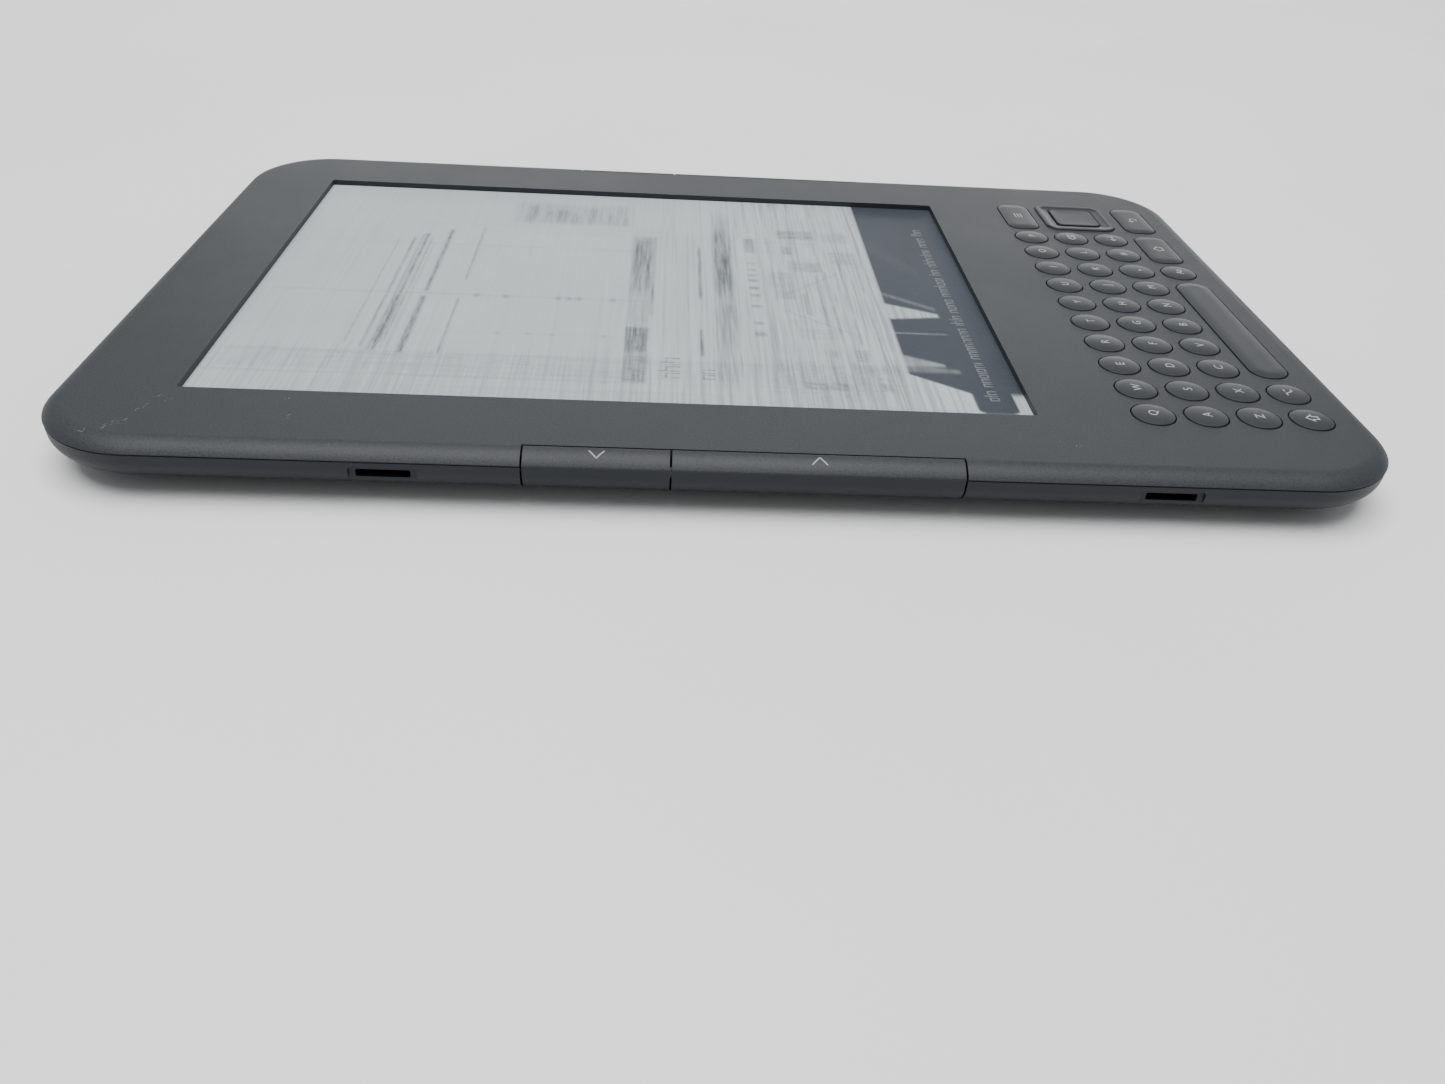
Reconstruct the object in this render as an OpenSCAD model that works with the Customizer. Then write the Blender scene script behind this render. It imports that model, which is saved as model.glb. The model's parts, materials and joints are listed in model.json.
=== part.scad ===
// Keyboard e-reader lying on its back. +X runs across it, +Y towards its top edge and +Z out of
// the screen. The origin is the middle of the back. Millimetres.

/* [Case] */
// Width of the case at its widest edge
case_w = 123; // [122:0.5:125]
// Length of the case
case_l = 190; // [189:0.5:193]
// Thickness of the case
case_t = 8.5; // [8.5:0.1:8.8]
// Radius of the four corners in plan
corner_r = 15; // [15:0.5:16.5]
// Width of the sloping band round the face
band_w = 3.1; // [2.9:0.1:3.2]
// Drop of the sloping band from the face to the widest edge
band_drop = 1.44; // [1.3:0.02:1.5]
// Height at which the underside starts to roll in
roll_h = 5.6; // [5.5:0.1:5.7]
// Distance that the underside rolls in to the flat back
roll_w = 14; // [13:0.5:14]
// Angle of the roll at which the two shells meet
split_angle = 40; // [39:1:41]
// Wall thickness of the shells
wall_t = 1.5; // [1.4:0.1:1.5]
// Thickness of the face plate
plate_t = 1.2; // [1.15:0.05:1.2]
// Thickness of the floor of the rear cover
floor_t = 1.1; // [1:0.1:1.1]

/* [Screen] */
// Width of the visible screen
screen_w = 90.6; // [90:0.2:91]
// Length of the visible screen
screen_l = 122.4; // [122:0.2:123]
// Distance of the screen's middle above the middle of the case
screen_y = 17; // [16.8:0.1:17.2]
// Depth of the screen below the face
screen_recess = 1; // [0.95:0.05:1]
// Thickness of the display panel
panel_t = 1.2; // [1.1:0.05:1.2]
// Hidden margin of the panel at each side
panel_side = 5.6; // [5:0.2:5.8]
// Hidden margin of the panel at its top edge
panel_top = 4.6; // [4:0.2:5]
// Hidden margin of the panel at its driver edge
panel_foot = 11.3; // [10.5:0.2:11.5]

/* [Keys] */
// Diameter of a round key
key_d = 6.3; // [6.1:0.1:6.3]
// Distance between keys along a row
key_pitch_x = 8.1; // [8.1:0.05:8.2]
// Distance between the rows of keys
key_pitch_y = 8; // [8:0.05:8.05]
// Middle of the first key of the top row, across the case
first_key_x = -43.9; // [-44.2:0.1:-43.7]
// Middle of the top row of keys, along the case
first_key_y = -61.8; // [-61.9:0.1:-61.7]
// Gap round each key
key_gap = 0.22; // [0.2:0.01:0.25]
// Travel of a key
key_travel = 0.3; // [0.2:0.05:0.3]
// Height of the middle of a key above the face
key_crown = 0.42; // [0.3:0.02:0.5]
// Height of the rim of a key above the face
key_rim = 0.12; // [0.05:0.01:0.15]
// Depth of the wide keys and of the space bar
wide_key_l = 6.2; // [6:0.1:6.3]
// Width of the menu, home and back keys
wide_key_w = 13.6; // [13.4:0.1:13.8]
// Corner radius of the menu, home and back keys
wide_key_r = 2.2; // [1.8:0.1:2.6]
// Width of the space bar
space_w = 38.3; // [37.9:0.1:38.5]
// Middle of the space bar across the case
space_x = -11.35; // [-11.4:0.05:-11.3]
// Middle of the menu and back keys across the case
menu_x = 40.6; // [40.5:0.1:40.8]
// Middle of the home key across the case
home_x = 24.5; // [24.4:0.1:24.6]

/* [Five-way pad] */
// Middle of the pad across the case
pad_x = 41; // [40.9:0.1:41.1]
// Middle of the pad along the case
pad_y = -73.7; // [-73.8:0.1:-73.6]
// Width of the tilting ring
ring_w = 13.8; // [13.6:0.1:13.9]
// Corner radius of the tilting ring
ring_r = 2.4; // [2:0.1:2.8]
// Width of the select button in the ring
select_w = 8.6; // [8.4:0.1:8.6]
// Height of the ring above the face
ring_proud = 0.3; // [0.2:0.05:0.4]

/* [Page buttons] */
// Upper end of the previous-page button
prev_top_y = 28.8; // [28:0.1:29]
// Line between the two page buttons
page_split_y = 9; // [8.8:0.1:9.2]
// Lower end of the next-page button
next_foot_y = -30.8; // [-31:0.1:-30]
// Width of the gap round the page buttons
page_gap = 0.24; // [0.2:0.02:0.3]

/* [Bottom edge] */
// Middle of the volume rocker
volume_x = -33; // [-33.5:0.5:-32.5]
// Length of the volume rocker
volume_w = 14; // [13:0.5:14]
// Middle of the headphone jack
jack_x = -14; // [-14.2:0.1:-13.8]
// Bore of the headphone jack
jack_bore_d = 3.6; // [3.55:0.01:3.6]
// Middle of the microphone hole
mic_x = -5.5; // [-6:0.5:-5]
// Middle of the charging port
usb_x = 3; // [3:0.5:4]
// Middle of the power slider's slot
power_x = 28; // [27:0.5:29]
// Length of the power slider's knob
power_w = 8; // [7:0.5:8]
// Travel of the power slider
power_travel = 3; // [2.5:0.1:3]
// Middle of the charging light
light_x = 38; // [37.5:0.5:38.5]

/* [Cover slots] */
// Middle of the upper cover slot along the left side
upper_slot_y = 46.9; // [46:0.1:48]
// Middle of the lower cover slot along the left side
lower_slot_y = -59.5; // [-60:0.1:-59]
// Length of a cover slot
slot_l = 7.2; // [6.8:0.1:7.6]
// Height of a cover slot
slot_h = 1.1; // [1:0.05:1.2]
// Depth of a cover slot
slot_depth = 3.2; // [2.8:0.1:3.4]

/* [Inside] */
// Width of the battery
battery_w = 62; // [60:1:62]
// Length of the battery
battery_l = 86; // [84:1:86]
// Thickness of the battery
battery_t = 3.5; // [3.3:0.1:3.5]
// Thickness of the main board
board_t = 0.8; // [0.7:0.1:0.8]
// Radius of the small frame screws
screw_r = 0.8; // [0.7:0.05:0.8]

/* [Hidden] */
$fn = 48;
eps = 0.01;
graphite = [0.36, 0.38, 0.39];
dark = [0.2, 0.21, 0.22];
paper = [0.68, 0.71, 0.7];
metal = [0.75, 0.75, 0.76];
board_green = [0.1, 0.32, 0.2];

KEY_ROWS = [
    ["q", "w", "e", "r", "t", "y", "u", "i", "o", "p"],
    ["a", "s", "d", "f", "g", "h", "j", "k", "l", "delete"],
    ["z", "x", "c", "v", "b", "n", "m", "full_stop", "symbol", "enter"],
    ["shift", "alt"]
];
TEXT_COLUMN = 7;
WIDE_KEYS = ["space", "menu", "home", "back"];
PAGE_SIDES = ["left", "right"];

// Levels, from the top down
face_z = case_t;
under_z = face_z - plate_t;
ridge_z = face_z - band_drop;
panel_z = face_z - screen_recess;
split_z = roll_h * (1 - sin(split_angle));
tray_z = 5.3;
tray_t = 0.8;
keypad_z = 5.2;
keypad_t = 0.6;
dome_h = 0.24;
board_z = 2.4;
board_top = board_z + board_t;
port_z = 4.9;
slot_z = 5;
jack_z = 4.3;

// The edge section's x is measured outward from the corner centres
band_start = corner_r - band_w;
band_angle = 2 * atan(band_drop / band_w);
band_r = band_w / sin(band_angle);
side_in = 0.1;
roll_start = corner_r - side_in - roll_w;
band_steps = 5;
roll_steps = 4;
back_steps = 6;
core_w = case_w - 2 * corner_r;
core_l = case_l - 2 * corner_r;
inner_u = corner_r - side_in - wall_t + 0.1;

function band_arc(from) = [
    for (i = [0:band_steps])
        let (a = from + (band_angle - from) * i / band_steps)
        [band_start + band_r * sin(a), face_z - band_r * (1 - cos(a))]
];
function roll_arc(from, to, inset, steps) = [
    for (i = [0:steps])
        let (a = from + (to - from) * i / steps)
        [roll_start + roll_w * cos(a) - inset, roll_h * (1 - sin(a))]
];

// Places a section along the four sides and round the four corners of the case
module edge_sweep() {
    for (i = [0:3]) {
        sx = (i == 0 || i == 3) ? 1 : -1;
        sy = (i < 2) ? 1 : -1;
        reach = (i % 2 == 0) ? core_w / 2 : core_l / 2;
        run = (i % 2 == 0) ? core_l : core_w;
        translate([sx * core_w / 2, sy * core_l / 2, 0])
            rotate([0, 0, 90 * i]) rotate_extrude(angle = 90) children();
        rotate([0, 0, 90 * i]) translate([reach, 0, 0])
            rotate([90, 0, 0]) linear_extrude(run, center = true) children();
    }
}

// Box given by its low and high corners
module box(low, high) {
    translate(low) cube(high - low);
}

module mirrored_x() {
    children();
    mirror([1, 0, 0]) children();
}

// Upright block with rounded corners, centred on its own axis
module pad_block(w, l, h, r) {
    linear_extrude(h) {
        square([w - 2 * r, l], center = true);
        square([w, l - 2 * r], center = true);
        for (x = [-1, 1])
            for (y = [-1, 1])
                translate([x * (w / 2 - r), y * (l / 2 - r)]) circle(r);
    }
}

// Places along the edges -----------------------------------------------------------------
tray_screws = [
    for (x = [-54, 54]) for (y = [80, 40, -42]) [x, y],
    for (x = [-24, 24]) [x, 87.3]
];
keypad_screws = [for (x = [-53.2, 53.2]) for (y = [-64, -85]) [x, y]];
board_screws = [[17.5, 15.5], [50, 15.5], [17.5, -40], [50, -40]];
side_hooks = [68, 35.5, -42, -77];
top_hooks = [-30, 0, 30];
foot_hooks = [14, 42];
hook_l = 5;
speaker_at = [45.5, -71];
switch_ys = [(prev_top_y + page_split_y) / 2, (page_split_y + next_foot_y) / 2];

function key_at(column, row) = [first_key_x + column * key_pitch_x, first_key_y - row * key_pitch_y];
wide_row_y = first_key_y - 3 * key_pitch_y - 0.1;
function wide_at(key) =
    key == "space" ? [space_x, wide_row_y]
    : key == "menu" ? [menu_x, first_key_y]
    : key == "home" ? [home_x, wide_row_y]
    : [menu_x, wide_row_y];
function wide_w(key) = key == "space" ? space_w : wide_key_w;
function wide_r(key) = key == "space" ? wide_key_l / 2 - 0.05 : wide_key_r;
function dome_places(key) = key == "space" ? [-13, 13] : [-3.5, 3.5];

module at_each_round_key() {
    for (row = [0:len(KEY_ROWS) - 1])
        for (column = [0:len(KEY_ROWS[row]) - 1])
            translate(key_at(column, row)) children();
    translate(key_at(TEXT_COLUMN, 3)) children();
}

// Front bezel ------------------------------------------------------------------------------
bay_in = 56;
lip_z = 6.65;
control_in = -92.9;
control_lap = 0.6;
power_lap = 1.2;
jack_body_y = -90.9;
jack_half = 3;
jack_top = 6.3;
jack_barrel_r = 2.15;

module bezel_section() {
    polygon(concat(
        [[0, face_z]],
        band_arc(0),
        roll_arc(0, split_angle, 0, roll_steps),
        roll_arc(split_angle, 0, wall_t, roll_steps),
        [[inner_u, under_z], [0, under_z]]
    ));
}

module panel_pocket() {
    low_y = screen_y - screen_l / 2 - panel_foot - 0.15;
    high_y = screen_y + screen_l / 2 + panel_top + 0.15;
    half = screen_w / 2 + panel_side + 0.15;
    box([-half, low_y, under_z - 1], [half, high_y, panel_z]);
}

module key_holes() {
    hole_h = plate_t + 1;
    translate([0, 0, under_z - 0.5]) {
        at_each_round_key() cylinder(h = hole_h, r = key_d / 2 + key_gap);
        for (key = WIDE_KEYS)
            translate(wide_at(key))
                pad_block(wide_w(key) + 2 * key_gap, wide_key_l + 2 * key_gap, hole_h, wide_r(key) + key_gap);
        translate([pad_x, pad_y, 0])
            pad_block(ring_w + 2 * key_gap, ring_w + 2 * key_gap, hole_h, ring_r + key_gap);
    }
}

module page_bay() {
    low = next_foot_y - page_gap / 2;
    high = prev_top_y + page_gap / 2;
    edge = case_w / 2 - band_w;
    box([bay_in, low, split_z - 1], [case_w, high, lip_z]);
    box([edge - page_gap / 2, low, lip_z - 1], [case_w, high, face_z + 1]);
}

module page_lip() {
    edge = case_w / 2 - band_w - page_gap / 2;
    box([edge - 0.45, next_foot_y, lip_z], [edge, prev_top_y, under_z + 0.2]);
}

// Pocket behind a slot in the bottom wall, where a control's inner plate moves
module control_pocket(half_w, gap) {
    box([-half_w, control_in - gap, -1.45], [half_w, -80, 1.45]);
}

module bottom_wall_holes() {
    out_y = -case_l / 2 - 1;
    depth = 5;
    volume_half = volume_w / 2 + 0.25;
    translate([volume_x, 0, port_z]) {
        box([-volume_half, out_y, -1.15], [volume_half, out_y + depth, 1.15]);
        control_pocket(volume_w / 2 + control_lap + 0.3, 0.55);
    }
    power_half = (power_w + power_travel) / 2 + 0.25;
    translate([power_x, 0, port_z]) {
        box([-power_half, out_y, -1.05], [power_half, out_y + depth, 1.05]);
        control_pocket((power_w + power_travel) / 2 + power_lap + 0.2, 0.15);
    }
    translate([jack_x, out_y, jack_z]) rotate([-90, 0, 0]) cylinder(h = depth, r = jack_barrel_r + 0.1);
    translate([jack_x, 0, 0])
        box([-jack_half - 0.1, jack_body_y - 0.1, 0], [jack_half + 0.1, -80, jack_top + 0.1]);
    translate([mic_x, out_y, port_z]) rotate([-90, 0, 0]) cylinder(h = depth, r = 0.5);
    translate([usb_x, out_y, port_z]) usb_outline(8.2, 3.2, depth);
    translate([light_x, out_y, port_z]) rotate([-90, 0, 0]) cylinder(h = depth, r = 0.6);
}

module usb_outline(w, h, depth) {
    box([-w / 2, 0, -h / 2 + 0.8], [w / 2, depth, h / 2]);
    box([-w / 2 + 0.8, 0, -h / 2], [w / 2 - 0.8, depth, h / 2]);
    for (x = [-1, 1])
        translate([x * (w / 2 - 0.8), 0, -h / 2 + 0.8]) rotate([-90, 0, 0]) cylinder(h = depth, r = 0.8);
}

module cover_slot(grow) {
    box([-case_w / 2 - 1, -slot_l / 2 - grow, slot_z - slot_h / 2 - grow],
        [-case_w / 2 + slot_depth + grow, slot_l / 2 + grow, slot_z + slot_h / 2 + grow]);
}

module front_bezel() {
    boss_r = 2;
    color(graphite) difference() {
        union() {
            edge_sweep() bezel_section();
            box([-core_w / 2, -core_l / 2, under_z], [core_w / 2, core_l / 2, face_z]);
            for (at = tray_screws)
                translate([at[0], at[1], tray_z + tray_t + 0.05]) cylinder(h = 1.5, r = boss_r);
            for (at = keypad_screws)
                translate([at[0], at[1], keypad_z + keypad_t + 0.05]) cylinder(h = 1.6, r = boss_r);
            intersection() {
                for (y = [upper_slot_y, lower_slot_y]) translate([0, y, 0]) cover_slot(1);
                box([-case_w / 2 + 1, -case_l / 2, split_z], [0, case_l / 2, face_z - 0.5]);
            }
            mirrored_x() page_lip();
        }
        translate([0, screen_y, 0])
            box([-screen_w / 2, -screen_l / 2, 0], [screen_w / 2, screen_l / 2, face_z + 1]);
        panel_pocket();
        key_holes();
        mirrored_x() page_bay();
        bottom_wall_holes();
        for (y = [upper_slot_y, lower_slot_y]) translate([0, y, 0]) cover_slot(0);
        for (at = concat(tray_screws, keypad_screws))
            translate([at[0], at[1], 0]) cylinder(h = face_z - 0.6, r = screw_r + 0.05);
    }
}

// Rear cover -------------------------------------------------------------------------------
module rear_section() {
    polygon(concat([[0, 0]], roll_arc(90, split_angle, 0, back_steps), [[0, split_z]]));
}

module snap_hook() {
    root_u = roll_start + roll_w * cos(split_angle) - wall_t - 0.17;
    top_z = 3.9;
    rotate([90, 0, 0]) linear_extrude(hook_l, center = true)
        polygon([[root_u - 0.95, floor_t - 0.1], [root_u, floor_t - 0.1], [root_u, 3],
                 [root_u + 0.7, 3.3], [root_u + 0.7, 3.5], [root_u, top_z], [root_u - 0.95, top_z]]);
}

module speaker_grille() {
    pitch = 1.7;
    for (column = [-3:3])
        for (row = [-1:1])
            translate([column * pitch, row * pitch, -1]) cylinder(h = floor_t + 2, r = 0.5);
}

module rear_cover() {
    inner = corner_r - (roll_start + roll_w * cos(split_angle) - 1.7);
    color(dark) difference() {
        union() {
            difference() {
                union() {
                    edge_sweep() rear_section();
                    box([-core_w / 2, -core_l / 2, 0], [core_w / 2, core_l / 2, split_z]);
                }
                translate([0, 0, floor_t])
                    pad_block(case_w - 2 * inner, case_l - 2 * inner, case_t, corner_r - inner);
            }
            for (y = side_hooks)
                mirrored_x() translate([core_w / 2, y, 0]) snap_hook();
            for (x = top_hooks) translate([x, core_l / 2, 0]) rotate([0, 0, 90]) snap_hook();
            for (x = foot_hooks) translate([x, -core_l / 2, 0]) rotate([0, 0, -90]) snap_hook();
        }
        mirrored_x() translate([speaker_at[0], speaker_at[1], 0]) speaker_grille();
    }
}

// Mid frame ----------------------------------------------------------------------------------
tray_half_w = 56.1;
tray_foot_y = -56;
tray_top_y = 91.3;
battery_at = [-19.5, 1];
rib_t = 0.8;

module battery_rib() {
    w = battery_w + 2.2;
    l = battery_l + 2.2;
    translate([battery_at[0], battery_at[1], tray_z - 1.1]) difference() {
        pad_block(w + 2 * rib_t, l + 2 * rib_t, 1.2, 3);
        translate([0, 0, -1]) pad_block(w, l, 3, 2.4);
        box([w / 4, -l / 2 - 3, -1], [w / 2 - 4, l / 2 + 3, 3]);
    }
}

module mid_frame() {
    bay_low = next_foot_y + 0.4;
    bay_high = prev_top_y - 0.4;
    tray_r = 9.6;
    color(metal) difference() {
        union() {
            intersection() {
                translate([0, 0, tray_z])
                    pad_block(2 * tray_half_w, 2 * tray_top_y, tray_t, tray_r);
                box([-case_w, tray_foot_y, 0], [case_w, case_l, case_t]);
            }
            mirrored_x() {
                box([54.9, bay_low, board_z], [55.75, bay_high, tray_z + eps]);
                box([55.5, bay_low, 4.95], [58, bay_high, 5.5]);
            }
            battery_rib();
            for (at = board_screws)
                translate([at[0], at[1], board_top + 0.05]) cylinder(h = tray_z - board_top, r = 1.8);
        }
        for (at = concat(tray_screws, board_screws))
            translate([at[0], at[1], 0]) cylinder(h = case_t, r = screw_r + 0.1);
        translate([battery_at[0], battery_at[1] + battery_l / 2 - 12, 0])
            pad_block(30, 8, case_t, 2);
        for (y = [-30, 35]) translate([32, y, 0]) pad_block(24, 10, case_t, 2);
    }
}

// Display ------------------------------------------------------------------------------------
module display_panel() {
    foot_y = screen_y - screen_l / 2 - panel_foot;
    low_z = panel_z - panel_t;
    tail_y = foot_y - 0.9;
    color(paper) union() {
        box([-screen_w / 2 - panel_side, foot_y, low_z],
            [screen_w / 2 + panel_side, screen_y + screen_l / 2 + panel_top, panel_z - 0.02]);
        box([-14, tail_y - 0.3, low_z + 0.2], [14, foot_y + 1, low_z + 0.5]);
        box([-14, tail_y - 0.3, tray_z - 0.7], [14, tail_y, low_z + 0.5]);
        box([-14, tail_y - 0.3, tray_z - 0.7], [14, tail_y + 8, tray_z - 0.4]);
    }
}

// Electronics --------------------------------------------------------------------------------
module battery() {
    color(dark) translate([battery_at[0], battery_at[1], floor_t + 0.2]) union() {
        pad_block(battery_w, battery_l, battery_t, 2.5);
        translate([0, battery_l / 2 - 5, 0]) pad_block(battery_w - 8, 6, battery_t + 0.2, 1);
    }
}

module main_board() {
    jack_notch = 3.4;
    color(board_green) difference() {
        union() {
            box([-44, -90.3, board_z], [44, -84.5, board_top]);
            box([-33, -85, board_z], [33, -46, board_top]);
            box([14, -50, board_z], [53.5, 60, board_top]);
            box([power_x - 4, -90.2, board_top - eps], [power_x + 4, -88, 5.1]);
            box([volume_x - 4, -90.2, board_top - eps], [volume_x + 4, -88, 5.1]);
            box([light_x - 0.8, -90.2, board_top - eps], [light_x + 0.8, -89, 5.1]);
            translate([mic_x, -88.1, board_top - eps]) cylinder(h = 1.5, r = 1.9);
            box([-26, -60, board_top - eps], [-14, -50, board_top + 1]);
            box([-8, -72, board_top - eps], [4, -60, board_top + 0.9]);
            box([10, -68, board_top - eps], [26, -58, board_top + 1.2]);
            box([20, -36, board_top - eps], [32, -26, board_top + 1]);
            box([36, -36, board_top - eps], [46, -28, board_top + 1.4]);
        }
        translate([jack_x, 0, 0]) box([-jack_notch, -92, 0], [jack_notch, -80, case_t]);
        for (x = foot_hooks)
            translate([x, 0, 0]) box([-hook_l / 2 - 0.3, -92, 0], [hook_l / 2 + 0.3, -88.6, case_t]);
        for (at = board_screws) translate([at[0], at[1], 0]) cylinder(h = case_t, r = screw_r + 0.1);
    }
}

module shield_can(low, high, h) {
    lid_t = 0.25;
    translate([low[0], low[1], board_top]) difference() {
        cube([high[0] - low[0], high[1] - low[1], h]);
        translate([lid_t, lid_t, -lid_t])
            cube([high[0] - low[0] - 2 * lid_t, high[1] - low[1] - 2 * lid_t, h]);
    }
}

module shield_cans() {
    color(metal) union() {
        shield_can([15, -20], [34, 11], 1.5);
        shield_can([36, -20], [53, 6], 1.5);
    }
}

module wireless_module() {
    color(metal) translate([0, 0, board_top + 0.02]) union() {
        box([18, 22, 0], [50, 54, 0.6]);
        box([20, 24, 0.5], [40, 52, 1.8]);
        for (y = [30, 38, 46]) translate([46, y, 0.5]) cylinder(h = 1, r = 1.1);
    }
}

module keypad_board() {
    half = 55.6;
    color(board_green) difference() {
        union() {
            box([-half, -88.5, keypad_z], [half, -57.2, keypad_z + keypad_t]);
            translate([0, 0, keypad_z + keypad_t - eps]) {
                at_each_round_key() cylinder(h = dome_h, r = 1.9);
                for (key = WIDE_KEYS)
                    for (x = dome_places(key))
                        translate(wide_at(key) + [x, 0]) cylinder(h = dome_h, r = 1.9);
                for (a = [0:90:270])
                    translate([pad_x, pad_y, 0]) rotate([0, 0, a]) translate([5, 0, 0]) cylinder(h = 0.08, r = 1.2);
                translate([pad_x, pad_y, 0]) cylinder(h = 0.08, r = 1.4);
            }
        }
        translate([jack_x, 0, 0]) box([-3.5, -92, 0], [3.5, -80.1, case_t]);
        for (at = keypad_screws) translate([at[0], at[1], 0]) cylinder(h = case_t, r = screw_r + 0.1);
    }
}

module speakers() {
    color(dark) mirrored_x() translate([speaker_at[0], speaker_at[1], floor_t + 0.15]) difference() {
        pad_block(14, 22, 3.2, 3);
        translate([0, 0, -1]) pad_block(11, 18, 1.5, 2.5);
    }
}

module page_switches() {
    color(dark) mirrored_x() for (y = switch_ys) translate([0, y, 0]) union() {
        box([55.85, -3, 2.9], [57.6, 3, 4.85]);
        box([57.5, -1, 3.4], [58.1, 1, 4.4]);
    }
}

// Slice of the case's outer shape along the bottom edge, to trim what reaches the wall
module bottom_edge_slice(w) {
    translate([0, -core_l / 2, 0]) rotate([90, 0, -90]) linear_extrude(w, center = true)
        polygon(concat([[0, face_z]], band_arc(0), roll_arc(0, 90, 0, 2 * roll_steps), [[0, 0]]));
}

module headphone_jack() {
    front_y = -case_l / 2;
    color(dark) difference() {
        union() {
            translate([jack_x, 0, 0]) box([-jack_half, jack_body_y, 2.05], [jack_half, -80.4, jack_top]);
            intersection() {
                translate([jack_x, front_y, jack_z]) rotate([-90, 0, 0]) cylinder(h = 5, r = jack_barrel_r);
                translate([jack_x, 0.3, 0]) bottom_edge_slice(10);
            }
        }
        translate([jack_x, front_y - 1, jack_z]) rotate([-90, 0, 0]) cylinder(h = 14, r = jack_bore_d / 2);
    }
}

module usb_port() {
    front_y = -93.3;
    length = 4.6;
    color(metal) translate([usb_x, front_y, port_z]) union() {
        difference() {
            usb_outline(7.6, 2.7, length);
            translate([0, -1, 0]) usb_outline(6.9, 2, length + 0.6);
        }
        box([-1.9, 1, -0.15], [1.9, length - 0.5, 0.45]);
        for (x = [-2.6, 2.6]) box([x - 0.4, 3.2, board_top - port_z], [x + 0.4, length, -1.2]);
    }
}

module screw(at, head_z, tip_z) {
    translate([at[0], at[1], head_z]) difference() {
        union() {
            cylinder(h = 0.45, r = 1.4);
            cylinder(h = tip_z - head_z, r = screw_r);
        }
        for (a = [0, 90]) rotate([0, 0, a]) translate([-0.8, -0.15, -1]) cube([1.6, 0.3, 1.25]);
    }
}

module frame_screws() {
    color(metal) union() {
        for (at = tray_screws) screw(at, tray_z - 0.5, face_z - 0.8);
        for (at = keypad_screws) screw(at, keypad_z - 0.5, face_z - 0.8);
        for (at = board_screws) screw(at, board_z - 0.5, tray_z + 0.6);
    }
}

// Moving pieces ------------------------------------------------------------------------------
// Where the page buttons hinge, across the case and in height
page_pivot = [57, 6.3];
page_foot_z = split_z + 0.35;
page_foot_angle = asin(1 - page_foot_z / roll_h);

// Section of a page button across the case, with its hinge tongue reaching inward
module page_section() {
    skin = 1.3;
    start = page_gap / 2;
    skin_u = corner_r - side_in - skin;
    pivot_u = page_pivot[0] - core_w / 2;
    tongue_low = page_pivot[1] - 0.3;
    tongue_high = page_pivot[1] + 0.2;
    top_low = under_z - 0.05;
    translate([core_w / 2, 0]) polygon(concat(
        band_arc(asin(start / band_r)),
        roll_arc(0, page_foot_angle, 0, roll_steps),
        roll_arc(page_foot_angle, 0, skin, roll_steps),
        [[skin_u, tongue_low], [pivot_u, tongue_low], [pivot_u, tongue_high], [skin_u, tongue_high],
         [skin_u, top_low], [band_start + start, top_low]]
    ));
}

module page_button(low, high) {
    middle = (low + high) / 2;
    color(graphite) union() {
        translate([0, high, 0]) rotate([90, 0, 0]) linear_extrude(high - low) page_section();
        translate([page_pivot[0], high, page_pivot[1]]) rotate([90, 0, 0]) cylinder(h = high - low, r = 0.55);
        box([58.35, middle - 1.2, 3.4], [59.8, middle + 1.2, 4.8]);
    }
}

module page_prev() {
    page_button(page_split_y + page_gap / 2, prev_top_y - page_gap / 2);
}

module page_next() {
    page_button(next_foot_y + page_gap / 2, page_split_y - page_gap / 2);
}

// Rounded key, its flange under the plate and the stem that presses the dome
flange_h = 0.42;
flange_top = under_z - 0.08;
stem_z = keypad_z + keypad_t + dome_h + key_travel + 0.04;

module round_key() {
    crown_steps = 4;
    r = key_d / 2;
    crown = [for (i = [0:crown_steps]) let (x = r * (1 - i / crown_steps))
        [x, face_z + key_crown - (key_crown - key_rim) * pow(x / r, 2.5)]];
    color(graphite) rotate_extrude() polygon(concat(
        [[0, stem_z], [1.3, stem_z], [1.3, flange_top - flange_h], [r + 0.45, flange_top - flange_h],
         [r + 0.45, flange_top], [r, flange_top]],
        crown
    ));
}

module wide_key(key) {
    w = wide_w(key);
    r = wide_r(key);
    color(graphite) union() {
        translate([0, 0, flange_top]) pad_block(w, wide_key_l, face_z + key_rim - flange_top, r);
        translate([0, 0, face_z]) pad_block(w - 0.8, wide_key_l - 0.8, key_crown - 0.1, r - 0.4);
        translate([0, 0, flange_top - flange_h]) pad_block(w + 0.9, wide_key_l + 0.9, flange_h, r);
        for (x = dome_places(key)) translate([x, 0, stem_z]) cylinder(h = 1, r = 1.3);
    }
}

module five_way_ring() {
    low = 6.63;
    color(graphite) difference() {
        union() {
            translate([0, 0, low]) pad_block(ring_w, ring_w, face_z + ring_proud - low, ring_r);
            translate([0, 0, low]) pad_block(ring_w + 1, ring_w + 1, 0.3, ring_r);
        }
        translate([0, 0, 6]) pad_block(select_w + 0.6, select_w + 0.6, case_t, 1.3);
        translate([0, 0, 6]) pad_block(select_w + 1.9, select_w + 1.9, under_z + 0.1 - 6, 1.6);
    }
}

// The web under the ring, with a round bar along each of its two tilting axes
module five_way_web() {
    web_t = 0.3;
    half = 6.7;
    color(dark) translate([0, 0, 6.1]) difference() {
        union() {
            pad_block(12, 5, web_t, 1);
            pad_block(5, 12, web_t, 1);
            difference() {
                pad_block(2 * half, 2 * half, web_t, 2);
                translate([0, 0, -1]) pad_block(11.2, 11.2, 3, 1);
            }
            translate([0, 0, web_t / 2]) for (a = [0, 90])
                rotate([0, 90, a]) cylinder(h = 2 * half, r = 0.2, center = true);
        }
        translate([0, 0, -1]) cylinder(h = 3, r = 1.9);
    }
}

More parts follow.
